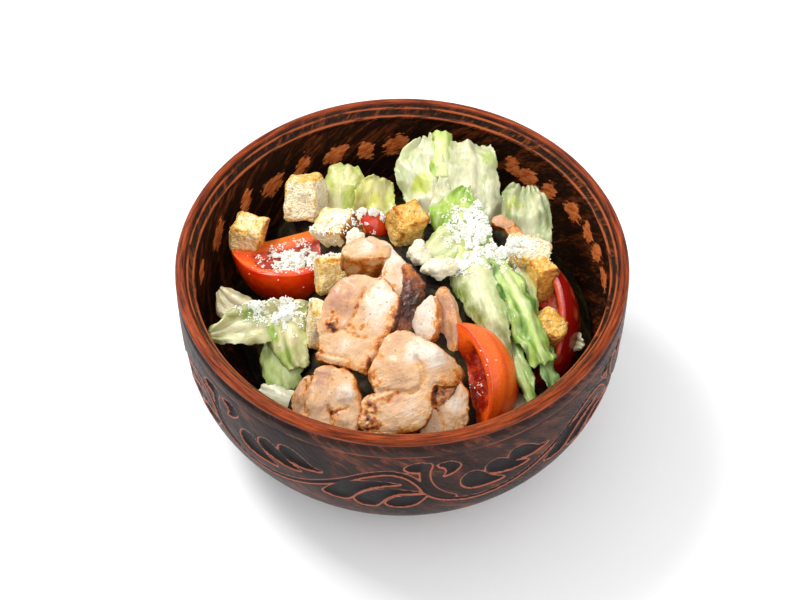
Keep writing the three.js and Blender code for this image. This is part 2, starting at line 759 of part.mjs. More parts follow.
function makeLeaf(leaf) {
  const along = vector(leaf.tip).sub(vector(leaf.base)).normalize();
  const side = new THREE.Vector3().crossVectors(along, vector(leaf.face)).normalize();
  const normal = new THREE.Vector3().crossVectors(side, along);
  const axes = { side, normal };
  const length = vector(leaf.tip).distanceTo(vector(leaf.base));
  const rows = Math.min(MOST_LEAF_ROWS, 3 + Math.ceil(length / 15));
  const columns = leaf.width > WIDE_LEAF ? 5 : 4;
  const points = [];
  for (const face of [1, -1]) {
    for (let row = 0; row < rows; row += 1) {
      for (let column = 0; column < columns; column += 1) {
        const u = (2 * column) / (columns - 1) - 1;
        const v = row / (rows - 1);
        const rib = 1 + 1.2 * (1 - Math.abs(u)) * (1 - 0.7 * v);
        const point = leafPoint(leaf, axes, u, v);
        points.push(point.addScaledVector(normal, (face * LEAF_THICKNESS * rib) / 2));
      }
    }
  }
  return solidOf(facesGeometry(points, sheetFaces(columns, rows)));
}

// The triangles of a sheet: an upper and a lower grid split alike, and the strip round their edge.
function sheetFaces(columns, rows) {
  const faces = [];
  const under = columns * rows;
  const quad = (a, b, c, d) => faces.push(a, b, c, a, c, d);
  for (let row = 0; row < rows - 1; row += 1) {
    for (let column = 0; column < columns - 1; column += 1) {
      const a = row * columns + column;
      const b = a + columns;
      faces.push(a, a + 1, b + 1, a, b + 1, b);
      faces.push(under + a, under + b + 1, under + a + 1, under + a, under + b, under + b + 1);
    }
  }
  for (let column = 0; column < columns - 1; column += 1) {
    const far = (rows - 1) * columns + column;
    quad(column, under + column, under + column + 1, column + 1);
    quad(far + 1, under + far + 1, under + far, far);
  }
  for (let row = 0; row < rows - 1; row += 1) {
    const left = row * columns;
    const right = left + columns - 1;
    quad(left + columns, under + left + columns, under + left, left);
    quad(right, under + right, under + right + columns, right + columns);
  }
  return faces;
}

function makeLettuce() {
  const drifts = LEAF_DRIFTS.map((drift, index) => driftSolid(drift, 70 + index));
  return joined([makeCore(), ...LEAVES.map(makeLeaf), ...drifts]);
}

// ---------------------------------------------------------------------------------------------
// Putting it together: what lies on top keeps its shape, and what lies below is cut round it
// ---------------------------------------------------------------------------------------------

const MATERIALS = {
  clay: { color: 0x4a2f24, roughness: 0.42, metalness: 0 },
  lettuce: { color: 0xb4c977, roughness: 0.45, metalness: 0 },
  meat: { color: 0xe2b68a, roughness: 0.5, metalness: 0 },
  bread: { color: 0xe5b873, roughness: 0.85, metalness: 0 },
  tomato: { color: 0xc4260e, roughness: 0.25, metalness: 0 },
  cheese: { color: 0xf3e9cf, roughness: 0.7, metalness: 0 },
};

function addMesh(group, name, solid, material) {
  const finish = new THREE.MeshStandardMaterial(MATERIALS[material]);
  const mesh = new THREE.Mesh(geometryOf(solid), finish);
  mesh.name = name;
  group.add(mesh);
}

function assemble() {
  const group = new THREE.Group();
  const room = makeRoom();
  const pieces = [
    makeSlice(SLICES[0]),
    makeCurl(),
    ...SLICES.slice(1).map(makeSlice),
    ...CROUTONS.map(makeCrouton),
    makeChickenBit(),
    ...CHEESE_LUMPS.map(makeLump),
    ...TOMATOES.map(makeTomato),
  ];
  addMesh(group, "bowl", makeBowl(), "clay");
  let lettuce = makeLettuce().intersect(room);
  const reserved = [];
  pieces.forEach(({ name, material, placed, grown }, index) => {
    const drift = TOPPED[name];
    let solid = drift ? placed.add(driftSolid(drift, index)) : placed;
    solid = reserved.reduce((rest, earlier) => rest.subtract(earlier), solid.intersect(room));
    addMesh(group, name, largestBody(solid), material);
    reserved.push(drift ? grown.add(driftSolid(drift, index, GAP)) : grown);
    lettuce = lettuce.subtract(reserved.at(-1));
  });
  addMesh(group, "lettuce", largestBody(lettuce), "lettuce");
  return group;
}

export default assemble();
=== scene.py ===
"""A chicken caesar salad in its carved clay bowl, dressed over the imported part. Lengths are in mm."""

import math
import random

import bpy
import numpy as np
from mathutils import Euler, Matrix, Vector, noise
from mathutils.bvhtree import BVHTree


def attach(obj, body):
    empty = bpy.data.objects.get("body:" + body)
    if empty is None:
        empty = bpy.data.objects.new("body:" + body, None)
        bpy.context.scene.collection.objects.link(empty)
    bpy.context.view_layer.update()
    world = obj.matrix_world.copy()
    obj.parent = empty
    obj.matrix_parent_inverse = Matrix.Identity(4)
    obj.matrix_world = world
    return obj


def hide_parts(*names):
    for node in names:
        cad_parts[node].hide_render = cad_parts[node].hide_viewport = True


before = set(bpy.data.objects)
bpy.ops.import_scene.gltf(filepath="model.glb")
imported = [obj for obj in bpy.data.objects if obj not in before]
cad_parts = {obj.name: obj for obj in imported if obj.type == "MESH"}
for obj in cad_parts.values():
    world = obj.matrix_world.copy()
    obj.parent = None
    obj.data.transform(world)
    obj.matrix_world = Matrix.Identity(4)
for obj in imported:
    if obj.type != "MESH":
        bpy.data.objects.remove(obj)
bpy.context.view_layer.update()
bpy.ops.object.select_all(action="DESELECT")

# ---------------------------------------------------------------------------------------------
# Bowl: red clay thrown on a wheel, carved while leather hard, smoked dark in the kiln and waxed.
# The red shows where the dark skin is rubbed off: on the lip, along the cut edges and in patches
# brushed round the inside of the wall.
# ---------------------------------------------------------------------------------------------

MM = 0.001
RIM_HEIGHT = 88
WIDEST_HEIGHT = 58
FLOOR_HEIGHT = 7
BOWL_RADIUS = 90.8
CAVITY_RADIUS = 84
NECK_RADIUS = 82.1
NECK_DRAW = 0.8
MERGE_REACH = 0.01


def start(name, primitive, **sizes):
    """Adds a primitive, alone selected, under the name of the piece that it becomes."""
    bpy.ops.object.select_all(action="DESELECT")
    getattr(bpy.ops.mesh, f"primitive_{primitive}_add")(**sizes)
    piece = bpy.context.active_object
    piece.name = name
    return piece


def points_of(piece):
    flat = np.empty(3 * len(piece.data.vertices))
    piece.data.vertices.foreach_get("co", flat)
    return flat.reshape(-1, 3)


def set_points(piece, points):
    piece.data.vertices.foreach_set("co", points.ravel())
    piece.data.update()


def normals_of(piece):
    flat = np.empty(3 * len(piece.data.vertices))
    piece.data.vertices.foreach_get("normal", flat)
    return flat.reshape(-1, 3)


def stamp(piece, name, values):
    """Writes a number or a vector to every point, which the material reads by its name."""
    kind, key = ("FLOAT", "value") if values.ndim == 1 else ("FLOAT_VECTOR", "vector")
    attribute = piece.data.attributes.new(name, kind, "POINT")
    attribute.data.foreach_set(key, values.astype(np.float32).ravel())


def edit_all(piece, *steps):
    """Runs edit-mode operators on the whole mesh, each given as a name and its settings."""
    bpy.ops.object.select_all(action="DESELECT")
    piece.select_set(True)
    bpy.context.view_layer.objects.active = piece
    bpy.ops.object.mode_set(mode="EDIT")
    bpy.ops.mesh.select_all(action="SELECT")
    for operator, settings in steps:
        getattr(bpy.ops.mesh, operator)(**settings)
    bpy.ops.object.mode_set(mode="OBJECT")


def face_out(piece, *steps):
    """Runs the steps, then turns the faces of a closed form outwards."""
    edit_all(piece, *steps, ("normals_make_consistent", {"inside": False}))


def close_up(piece):
    """Merges the seam and the poles of a closed form and turns its faces outwards."""
    face_out(piece, ("remove_doubles", {"threshold": MERGE_REACH * MM}))


def modify(piece, kind, **settings):
    bpy.context.view_layer.objects.active = piece
    modifier = piece.modifiers.new(kind.lower(), kind)
    for key, value in settings.items():
        setattr(modifier, key, value)
    bpy.ops.object.modifier_apply(modifier=modifier.name)


def grain_of(points, size, seed=0.0):
    """Smooth noise from about -1 to 1 at each point, with lumps of the given size."""
    shift = Vector((13.7 * seed, 7.1 * seed, 3.3 * seed))
    return np.array([noise.noise(Vector(point) + shift) for point in points / size])


def smooth_step(low, high, values):
    share = np.clip((values - low) / (high - low), 0, 1)
    return share * share * (3 - 2 * share)


def hump(values, middle, reach):
    """1 where a value is at the middle, and falling to 0 beyond its reach."""
    return np.exp(-(((values - middle) / reach) ** 2))


def linear(tone):
    """The linear colour of a tone written as hexadecimal sRGB."""
    shares = [int(tone[k : k + 2], 16) / 255 for k in (0, 2, 4)]
    return [c / 12.92 if c <= 0.04045 else ((c + 0.055) / 1.055) ** 2.4 for c in shares]


class Wiring:
    """Adds nodes to a tree. A socket that is passed in is linked, and a plain value is set."""

    def __init__(self, tree):
        self.tree = tree

    def feed(self, target, source):
        if isinstance(source, bpy.types.NodeSocket):
            self.tree.links.new(source, target)
        elif isinstance(source, str):
            target.default_value = (*linear(source), 1)
        else:
            target.default_value = source

    def add(self, kind, inputs, output=0, **settings):
        node = self.tree.nodes.new("ShaderNode" + kind)
        for key, value in settings.items():
            setattr(node, key, value)
        for key, value in inputs.items():
            self.feed(node.inputs[key], value)
        return node.outputs[output]

    def read(self, name, output="Fac"):
        return self.add("Attribute", {}, output, attribute_name=name)

    def place(self):
        """The point on the object, in millimetres."""
        spot = self.add("TexCoord", {}, "Object")
        return self.stretch(spot, (1000, 1000, 1000))

    def stretch(self, place, scale):
        return self.add("VectorMath", {0: place, 1: scale}, operation="MULTIPLY")

    def calc(self, operation, a, b=0.0):
        return self.add("Math", {0: a, 1: b}, operation=operation)

    def plus(self, a, b):
        return self.calc("ADD", a, b)

    def minus(self, a, b):
        return self.calc("SUBTRACT", a, b)

    def times(self, a, b):
        return self.calc("MULTIPLY", a, b)

    def swing(self, value, strength):
        """A value from 0 to 1, made to swing about 0."""
        return self.times(self.minus(value, 0.5), strength)

    def band(self, value, low, high, out_low=0.0, out_high=1.0):
        ends = {"From Min": low, "From Max": high, "To Min": out_low, "To Max": out_high}
        return self.add("MapRange", {"Value": value, **ends}, interpolation_type="SMOOTHSTEP")

    def grain(self, place, size, detail=3.0, rough=0.5):
        inputs = {"Vector": place, "Scale": 1 / size, "Detail": detail, "Roughness": rough}
        return self.add("TexNoise", inputs)

    def mix(self, mask, below, above):
        return self.add("Mix", {0: mask, 6: below, 7: above}, 2, data_type="RGBA")

    def ramp(self, value, stops):
        node = self.tree.nodes.new("ShaderNodeValToRGB")
        edges = node.color_ramp.elements
        for _ in stops[2:]:
            edges.new(0.5)
        for edge, (position, tone) in zip(edges, stops):
            edge.position = position
            edge.color = (*linear(tone), 1)
        self.feed(node.inputs[0], value)
        return node.outputs[0]

    def bump(self, height, depth, under=None):
        inputs = {"Height": height, "Distance": depth * MM, "Strength": 1.0}
        if under is not None:
            inputs["Normal"] = under
        return self.add("Bump", inputs)


def finish(name, **shader):
    """A new material: its wiring, and a function that links an output to the shader's socket."""
    material = bpy.data.materials.new(name)
    material.use_nodes = True
    wiring = Wiring(material.node_tree)
    principled = material.node_tree.nodes["Principled BSDF"]
    for key, value in shader.items():
        wiring.feed(principled.inputs[key.replace("_", " ")], value)

    def link(key, source):
        wiring.feed(principled.inputs[key], source)

    return material, wiring, link


def settle(piece, material, slot, *nodes):
    """Gives a finished piece its material and smooth shading, puts it on the root body, and hides the
    imported parts that it stands for. The slot is not used.
    """
    piece.data.materials.clear()
    piece.data.materials.append(material)
    piece.data.shade_smooth()
    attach(piece, "root")
    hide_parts(*nodes)
    return piece


def wall_radius(height, widest, drop, curve):
    """A wall that rounds in over its drop, below the widest height, and draws in a little above it."""
    belly = np.clip((WIDEST_HEIGHT - height) / drop, 0, 1) ** curve
    neck = widest - NECK_DRAW * ((height - WIDEST_HEIGHT) / (RIM_HEIGHT - WIDEST_HEIGHT)) ** 2
    return np.where(height > WIDEST_HEIGHT, neck, widest * (1 - belly) ** (1 / curve))


def outer_radius(height):
    return wall_radius(height, BOWL_RADIUS, drop=64.5, curve=2.4)


def cavity_radius(height):
    return wall_radius(height, CAVITY_RADIUS, drop=WIDEST_HEIGHT - FLOOR_HEIGHT, curve=2.5)


# The lip from the groove under it, over the top, to the two ridges inside it: radius and height.
LIP = [
    (90.3, 80), (90.3, 81), (90.1, 82), (89.5, 82.8), (89.2, 83.4), (89.4, 84.1), (89.9, 84.8), (90.1, 85.6),
    (90, 86.4), (89.6, 87.1), (89, 87.6), (88.3, 87.9), (87.5, 88), (86.8, 87.8), (86.3, 87.3), (86.05, 86.7),
    (85.8, 86.15), (85.3, 85.9), (84.9, 85.5), (84.65, 84.9), (84.3, 84.3), (83.95, 83.6), (83.6, 83.1),
    (83.1, 82.9), (82.75, 82.4), (82.65, 81.8), (82.9, 81.1), (83.3, 80.4), (83.55, 79.6),
]
FOOT_RINGS = [(0, 0), (16, 0), (30, 0.25), (31, 0), (44, 0)]
LOW_HEIGHTS = [0, 0.5, 1.5, 3, 6, 10, 14, 18, 21]
DEEP_HEIGHTS = [54, 50, 46, 41, 36, 31, 26, 21, 17, 13, 10, 8.2, 7.4, 7.05, 7]
BAND_HEIGHTS = (24, 79.3)
ROW_STEP = 0.93
BOWL_COLUMNS = 680


def bowl_profile():
    """The turned outline from the middle of the foot to the middle of the floor inside."""
    outside = np.array([*LOW_HEIGHTS, *np.arange(*BAND_HEIGHTS, ROW_STEP)])
    inside = np.array([*np.arange(78.8, 57, -ROW_STEP), *DEEP_HEIGHTS])
    outer = np.column_stack([outer_radius(outside), outside])
    inner = np.column_stack([cavity_radius(inside), inside])
    return np.vstack([FOOT_RINGS, outer, LIP, inner]), len(FOOT_RINGS) + len(outer)


# The carved outlines of one repeat: degrees to the right of its middle, and height.
CARVED_LEAVES = [
    [(-20.7, 47.5), (-18.9, 52.5), (-15.8, 57.6), (-12.1, 60.4), (-6, 61.8), (-0.3, 60.4), (-4.5, 58.9),
     (-8.2, 56.4), (-11, 52.4), (-13, 47.6), (-14.7, 45.4), (-18, 45.4)],
    [(-12.3, 47.4), (-10.4, 52.2), (-6.6, 56.2), (-2, 57), (2.4, 55.8), (6, 53.8), (2, 53.8), (-1.4, 53),
     (-3.8, 50.2), (-5.4, 46), (-6.8, 42.8), (-9.1, 42.1), (-11.3, 43.8)],
    [(-4.3, 45.8), (-3, 49.6), (-0.9, 51.8), (2.2, 52.4), (6, 52.6), (5.4, 49.2), (3.4, 44.8), (0.2, 42.4),
     (-2.8, 43)],
]
CARVED_DROPS = [
    [(14.7, 58.3), (15.6, 62.2), (17.9, 64), (20.4, 61.6), (23, 57), (26.8, 52), (22.4, 51.2), (18.2, 51.6),
     (15.6, 54.2)],
    [(21.1, 63.1), (22, 66), (24.3, 67), (27, 64.6), (30, 60), (33.8, 56.4), (29, 55.6), (24.3, 57.4),
     (21.9, 59.6)],
    [(27.5, 66.6), (28.5, 69), (30.9, 69.3), (34, 66.6), (36.5, 63), (39.7, 61), (35, 59.4), (30.3, 60.3),
     (28, 63)],
]
CARVED_BUDS = [
    [(0.4, 70.9), (2, 73.4), (5.2, 74.4), (5.8, 72), (5, 69.4), (4, 67.9), (1.6, 68.7)],
    [(8.6, 71.9), (10, 73.1), (12.3, 73.3), (14.6, 69.9), (12.8, 65.8), (10.3, 64.2), (11, 67), (10.2, 69.8)],
]
# The vine runs on from repeat to repeat, and the stem of the buds leaves it.
CARVED_VINE = [
    (-15.2, 59.2), (-9.5, 65), (-3.8, 67.9), (0.8, 66), (4, 60.8), (6.2, 54.6), (8.8, 50), (12.8, 46.6),
    (19.1, 44.2), (26, 45.3), (33, 49), (39, 53.9),
]
CARVED_STEM = [(6.2, 72), (5.6, 68), (5.9, 62), (7.4, 56.5), (9.8, 52), (12.6, 48.4)]
CARVED_CURL = [(9.3, 70.6), (11, 69.2), (11.2, 66.2)]
REPEAT = 60
REPEAT_SHIFT = 2.8
CARVED_DEPTH = 1.5
GROOVE_DEPTH = 0.75
HOLLOW_SOFTNESS, GROOVE_SOFTNESS = 0.9, 0.5
CARVED_REACH = 4.0
VINE_WIDTH = 1.25
STEM_WIDTH = 1.9
CURL_WIDTH = 0.35
BAND_RADIUS = 88
MM_PER_DEGREE = math.radians(1) * BAND_RADIUS
BAND_SCALE = np.array([MM_PER_DEGREE, 1])


def rounded(path, closed, steps=6):
    """A smooth curve through the given points."""
    knots = np.array(path, dtype=float)
    if closed:
        knots = np.vstack([knots[-1:], knots, knots[:2]])
    else:
        knots = np.vstack([2 * knots[0] - knots[1], knots, 2 * knots[-1] - knots[-2]])
    curve = []
    for a, b, c, d in zip(knots, knots[1:], knots[2:], knots[3:]):
        for t in np.arange(steps) / steps:
            bend = (2 * a - 5 * b + 4 * c - d) * t * t + (3 * b - a - 3 * c + d) * t**3
            curve.append(b + (c - a) * t / 2 + bend / 2)
    curve.append(curve[0] if closed else knots[-2])
    return np.array(curve)


def distance_to(curve, spots):
    nearest = np.full(len(spots), 1e9)
    for a, b in zip(curve, curve[1:]):
        along = b - a
        share = np.clip((spots - a) @ along / max(along @ along, 1e-9), 0, 1)
        nearest = np.minimum(nearest, np.hypot(*(spots - a - share[:, None] * along).T))
    return nearest


def is_inside(curve, spots):
    crossed = np.zeros(len(spots), dtype=bool)
    for a, b in zip(curve, curve[1:]):
        if a[1] == b[1]:
            continue
        level = (a[1] > spots[:, 1]) != (b[1] > spots[:, 1])
        crossing = a[0] + (spots[:, 1] - a[1]) * (b[0] - a[0]) / (b[1] - a[1])
        crossed ^= level & (spots[:, 0] < crossing)
    return crossed


def in_repeat(degrees, middle=0):
    """The same angle in the repeat about the given middle."""
    return (degrees - middle + REPEAT / 2) % REPEAT - REPEAT / 2 + middle


def carved_distance(degrees, heights):
    """The distance from the edge of the hollows and of the grooves, less than 0 inside them."""
    uneven = degrees + REPEAT_SHIFT * np.sin(np.radians(degrees))
    hollow, groove = np.full((2, len(degrees)), 2 * CARVED_REACH)
    for shape in CARVED_LEAVES + CARVED_DROPS + CARVED_BUDS:
        curve = rounded(shape, closed=True) * BAND_SCALE
        local = in_repeat(uneven, np.mean([angle for angle, _ in shape]))
        spots = np.column_stack([local * MM_PER_DEGREE, heights])
        near = np.all((spots > curve.min(0) - CARVED_REACH) & (spots < curve.max(0) + CARVED_REACH), axis=1)
        away = distance_to(curve, spots[near])
        sign = np.where(is_inside(curve, spots[near]), -1, 1)
        hollow[near] = np.minimum(hollow[near], away * sign)
    vine = [(angle + REPEAT * turn, height) for turn in (-1, 0, 1) for angle, height in CARVED_VINE]
    spots = np.column_stack([in_repeat(uneven) * MM_PER_DEGREE, heights])
    for path, width in ((vine, VINE_WIDTH), (CARVED_STEM, STEM_WIDTH), (CARVED_CURL, CURL_WIDTH)):
        groove = np.minimum(groove, distance_to(rounded(path, closed=False) * BAND_SCALE, spots) - width)
    return np.clip(hollow, -CARVED_REACH, CARVED_REACH), np.clip(groove, -CARVED_REACH, CARVED_REACH)


# The brushed patches inside: degrees to the right of the front, and height. The list ends with an
# even row of them round the front.
BRUSHED = [
    (-159.7, 63.5), (-169, 62.2), (-178.2, 64.5), (-148.5, 64), (-137.9, 61), (-126.9, 63.8), (-112.1, 63),
    (144.8, 67.8), (139.3, 64.3), (130.8, 65.2), (120, 66), (111.3, 65.5), (104.3, 64.5), (163, 65), (96, 62),
] + [(-98 + 13 * k, 63 + 2.5 * math.sin(2.3 * k)) for k in range(15)]
BRUSH_WIDTH = 5.6
OUT_OF_ROUND = 0.0012
# The turned line under the lip, as the height and width of its groove and of its bright edge.
TURNED_DEPTH = 0.3
TURNED_GROOVE = (77.6, 0.5)
TURNED_EDGE = (77.9, 0.45)
# Rows of the lip: where its bare clay begins and ends, the two ridges, and where the inside begins.
BARE_BEGINS, BARE_ENDS, INDOORS_BEGINS = (4.2, 6.4), (13, 15), (15, 17)
RIDGES = [(17.2, 1.1), (23, 1.3)]


def brushed(degrees, heights):
    """How near each point of the inner wall is to the middle of a brushed patch, from 0 to 1."""
    most = np.zeros(len(degrees))
    for k, (angle, height) in enumerate(BRUSHED):
        along = ((degrees - angle + 180) % 360 - 180) * MM_PER_DEGREE
        slant = 0.25 * math.sin(1.9 * k) - 0.3
        length = 5.2 + 1.5 * math.sin(3.1 * k + 1)
        reach = (along / length) ** 2 + ((heights - height - slant * along) / BRUSH_WIDTH) ** 2
        most = np.maximum(most, np.exp(-0.8 * reach))
    return most


def make_bowl():
    profile, first_lip_row = bowl_profile()
    rows = len(profile)
    bowl = start("carved_bowl", "grid", x_subdivisions=BOWL_COLUMNS, y_subdivisions=rows - 1, size=2)
    flat = points_of(bowl)
    degrees = 180 * flat[:, 0]
    row = np.rint((flat[:, 1] + 1) / 2 * (rows - 1)).astype(int)
    lip_row = row - first_lip_row
    outside = (row >= len(FOOT_RINGS)) & (lip_row < 0)
    inside = lip_row >= len(LIP)
    heights = profile[row, 1]
    hollow, groove = np.full((2, len(flat)), CARVED_REACH)
    hollow[outside], groove[outside] = carved_distance(degrees[outside], heights[outside])
    sunk = CARVED_DEPTH * (1 - np.exp(np.minimum(hollow, 0) / HOLLOW_SOFTNESS))
    sunk = np.maximum(sunk, GROOVE_DEPTH * (1 - np.exp(np.minimum(groove, 0) / GROOVE_SOFTNESS)))
    sunk += TURNED_DEPTH * hump(heights, *TURNED_GROOVE) * outside
    slope = np.gradient(profile, axis=0)
    outward = np.column_stack([slope[:, 1], -slope[:, 0]])
    outward /= np.linalg.norm(outward, axis=1)[:, None]
    reach, height = (profile[row] - outward[row] * sunk[:, None]).T
    angle = np.radians(degrees - 90)
    wobble = 1 + OUT_OF_ROUND * np.sin(2 * angle + 1) * (heights / RIM_HEIGHT) - OUT_OF_ROUND
    points = np.column_stack([reach * np.cos(angle) * wobble, reach * np.sin(angle) * wobble, height])
    set_points(bowl, points * MM)
    worn = np.zeros(len(flat))
    worn[inside] = brushed(degrees[inside], heights[inside])
    run = np.concatenate([[0], np.cumsum(np.hypot(*np.diff(profile, axis=0).T))])
    ridges = sum(hump(lip_row, *ridge) for ridge in RIDGES)
    stamp(bowl, "carved", np.minimum(hollow, groove))
    stamp(bowl, "hollow", smooth_step(0, 1, -hollow))
    stamp(bowl, "brushed", worn)
    stamp(bowl, "lip", smooth_step(*BARE_BEGINS, lip_row) * (1 - smooth_step(*BARE_ENDS, lip_row)))
    stamp(bowl, "round_profile", run[row])
    stamp(bowl, "ridge", ridges + 0.7 * hump(heights, *TURNED_EDGE) * outside)
    stamp(bowl, "indoors", np.maximum(smooth_step(*INDOORS_BEGINS, lip_row), inside))
    close_up(bowl)
    return bowl


def make_clay():
    clay, wire, link = finish("smoked clay", Roughness=0.4, Specular_IOR_Level=0.1)
    place = wire.place()
    twist = wire.times(wire.add("SeparateXYZ", {0: place}, 2), 0.011)
    slanted = wire.add("VectorRotate", {"Vector": place, "Angle": twist}, rotation_type="Z_AXIS")
    strokes = wire.grain(wire.stretch(slanted, (1, 1, 0.75)), 6.5, 5.0, 0.66)
    patches = wire.grain(wire.stretch(slanted, (1, 1, 0.7)), 24, 2.0, 0.5)
    fine = wire.grain(wire.stretch(slanted, (1, 1, 0.35)), 1.1, 3.0, 0.6)
    indoors = wire.read("indoors")
    skin = wire.mix(wire.band(patches, 0.35, 0.7), "1e1311", "35221d")
    skin = wire.mix(indoors, skin, wire.mix(wire.band(fine, 0.4, 0.75), "22130c", "3c2416"))
    rubbed = wire.times(wire.band(strokes, 0.46, 0.62), wire.band(patches, 0.38, 0.6, 0.15, 1.0))
    rubbed = wire.times(rubbed, wire.band(fine, 0.3, 0.65, 0.3, 0.85))
    rubbed = wire.times(rubbed, wire.band(wire.read("carved"), -0.2, 0.6))
    rubbed = wire.times(rubbed, wire.minus(1.0, indoors))
    colour = wire.mix(rubbed, skin, wire.mix(fine, "4c2318", "91503a"))
    streaks = wire.grain(wire.stretch(slanted, (1, 1, 0.3)), 5, 5.0, 0.68)
    indoor_streak = wire.times(indoors, wire.band(streaks, 0.5, 0.6, 0, 0.85))
    colour = wire.mix(indoor_streak, colour, wire.mix(wire.band(fine, 0.4, 0.65), "4a2414", "84421f"))
    ragged = wire.grain(wire.stretch(slanted, (1, 1, 1.2)), 3.6, 5.0, 0.7)
    brushed_in = wire.plus(wire.read("brushed"), wire.times(ragged, 1.7))
    brushed_in = wire.times(wire.band(brushed_in, 1.3, 1.4), indoors)
    colour = wire.mix(brushed_in, colour, wire.mix(wire.band(ragged, 0.4, 0.6), "d4622a", "ff9450"))
    colour = wire.mix(wire.read("hollow"), colour, wire.mix(patches, "161213", "2c2728"))
    edge = wire.calc("ABSOLUTE", wire.minus(wire.read("carved"), 0.15))
    edge = wire.band(wire.plus(edge, wire.times(fine, 0.3)), 0.6, 0.34)
    colour = wire.mix(wire.times(edge, 0.85), colour, "a8604a")
    ring = wire.stretch(place, (0.07, 0.07, 0))
    across_ring = wire.add("CombineXYZ", {2: wire.times(wire.read("round_profile"), 1.1)})
    lip_grain = wire.grain(wire.add("VectorMath", {0: ring, 1: across_ring}, operation="ADD"), 1.0, 5.0, 0.62)
    fired = [(0.36, "44190a"), (0.47, "723015"), (0.56, "8d3b1a"), (0.66, "aa4e23")]
    terracotta = wire.ramp(lip_grain, fired)
    terracotta = wire.mix(wire.band(fine, 0.56, 0.72, 0, 0.45), terracotta, "4a1e10")
    colour = wire.mix(wire.times(wire.read("lip"), wire.band(lip_grain, 0.28, 0.42)), colour, terracotta)
    ridge = wire.times(wire.read("ridge"), wire.band(lip_grain, 0.34, 0.55, 0.2, 0.9))
    colour = wire.mix(wire.band(ridge, 0.25, 0.8), colour, "a8532c")
    link("Base Color", colour)
    link("Roughness", wire.band(fine, 0.3, 0.7, 0.34, 0.52))
    tooled = wire.times(wire.grain(place, 0.9, 2.0, 0.5), 0.5)
    height = wire.plus(wire.plus(fine, tooled), wire.times(strokes, 0.6))
    link("Normal", wire.bump(height, 0.16))
    return clay


settle(make_bowl(), make_clay(), "clay", "bowl")

# ---------------------------------------------------------------------------------------------
# Lettuce heap: chopped iceberg and dressing that fill the bowl below what shows. The heap is wet and
# painted nearly black between the pieces as painted shade, darkest in the low parts of its crumple, with
# crumpled bits of leaf at its top.
# ---------------------------------------------------------------------------------------------

HEAP_BASE = 30.0
HEAP_BOTTOM = 8
HEAP_GAP = 1.2
HEAP_GAP_BELOW = 4
HEAP_COLUMNS, HEAP_WALL_ROWS, HEAP_TOP_ROWS = 200, 12, 84
HEAP_CRUMPLE = 1.3
HEAP_SINK = 0.8
INNER_LIP_HEIGHT = 79
# Where the heap rises or sinks: x, y, rise, and its spread along x and y.
HEAP_MOUNDS = [
    (5, -10, 38, 44, 50), (-6, -44, 15, 28, 20), (30, 0, 6, 16, 22), (56, 2, 10, 14, 22),
    (2, 27, 10, 22, 15), (-27, 24, 11, 11, 13), (-41, 43, 12, 12, 14), (-72, -24, -26, 17, 20),
    (-18, -17, 9, 14, 11), (-36, -55, 15, 12, 10), (18, -62, 7, 12, 9), (-32, -5, 7, 9, 9),
    (-20, 12, 10, 8, 7), (-43, 47, 12, 10, 10), (-35, -24, 6, 8, 9), (52, 8, 10, 11, 9),
    (44, 27, 18, 9, 8), (59, -24, 20, 9, 8),
]


def ridged(points, size, seed):
    """Noise with sharp crests, as in a crease."""
    return 1 - 2 * np.abs(grain_of(points, size, seed))


def heap_height(x, y):
    height = np.full(np.shape(x), HEAP_BASE)
    for mound_x, mound_y, rise, spread_x, spread_y in HEAP_MOUNDS:
        fall = ((x - mound_x) / spread_x) ** 2 + ((y - mound_y) / spread_y) ** 2
        height = height + rise * np.exp(-fall / 2)
    return height


def heap_reach(height):
    return cavity_radius(height) - HEAP_GAP - HEAP_GAP_BELOW * np.clip(1 - height / WIDEST_HEIGHT, 0, 1)


def keep_in_bowl(points, gap=0.7):
    """Presses points that would cross the bowl's wall or neck back to just inside it."""
    heights = points[:, 2]
    room = np.where(heights > INNER_LIP_HEIGHT, NECK_RADIUS, np.minimum(NECK_RADIUS, cavity_radius(heights)))
    room = room - gap
    reach = np.hypot(points[:, 0], points[:, 1])
    shrink = np.where(reach > room, room / np.maximum(reach, 1), 1)
    return points * np.column_stack([shrink, shrink, np.ones(len(points))])


def make_heap():
    rows = HEAP_WALL_ROWS + HEAP_TOP_ROWS
    heap = start("lettuce_heap", "grid", x_subdivisions=HEAP_COLUMNS, y_subdivisions=rows, size=2)
    flat = points_of(heap)
    angle = math.pi * (flat[:, 0] + 1)
    row = np.rint((flat[:, 1] + 1) / 2 * rows)
    on_wall, inward = row <= HEAP_WALL_ROWS, row - HEAP_WALL_ROWS
    # the height at which the heap's top meets the wall, closed in on step by step
    level = np.full(len(flat), 40.0)
    for _ in range(14):
        reach = heap_reach(level)
        level = (level + heap_height(reach * np.cos(angle), reach * np.sin(angle))) / 2
    climb = np.clip((row - 2) / (HEAP_WALL_ROWS - 2), 0, 1)
    wall_level = HEAP_BOTTOM + (level - HEAP_BOTTOM) * climb
    wall_reach = heap_reach(wall_level) * np.minimum(row / 2, 1)
    top_reach = heap_reach(level) * (1 - np.clip(inward / HEAP_TOP_ROWS, 0, 1))
    reach = np.where(on_wall, wall_reach, top_reach)
    x, y = reach * np.cos(angle), reach * np.sin(angle)
    points = np.column_stack([x, y, np.where(on_wall, wall_level, heap_height(x, y))])
    crumple = ridged(points, 9, 1) + 0.5 * ridged(points, 4, 2)
    points[:, 2] += np.where(on_wall, 0, HEAP_CRUMPLE * crumple * np.minimum(1, inward / 6) - HEAP_SINK)
    set_points(heap, points * MM)
    stamp(heap, "crumple", crumple)
    close_up(heap)
    return heap


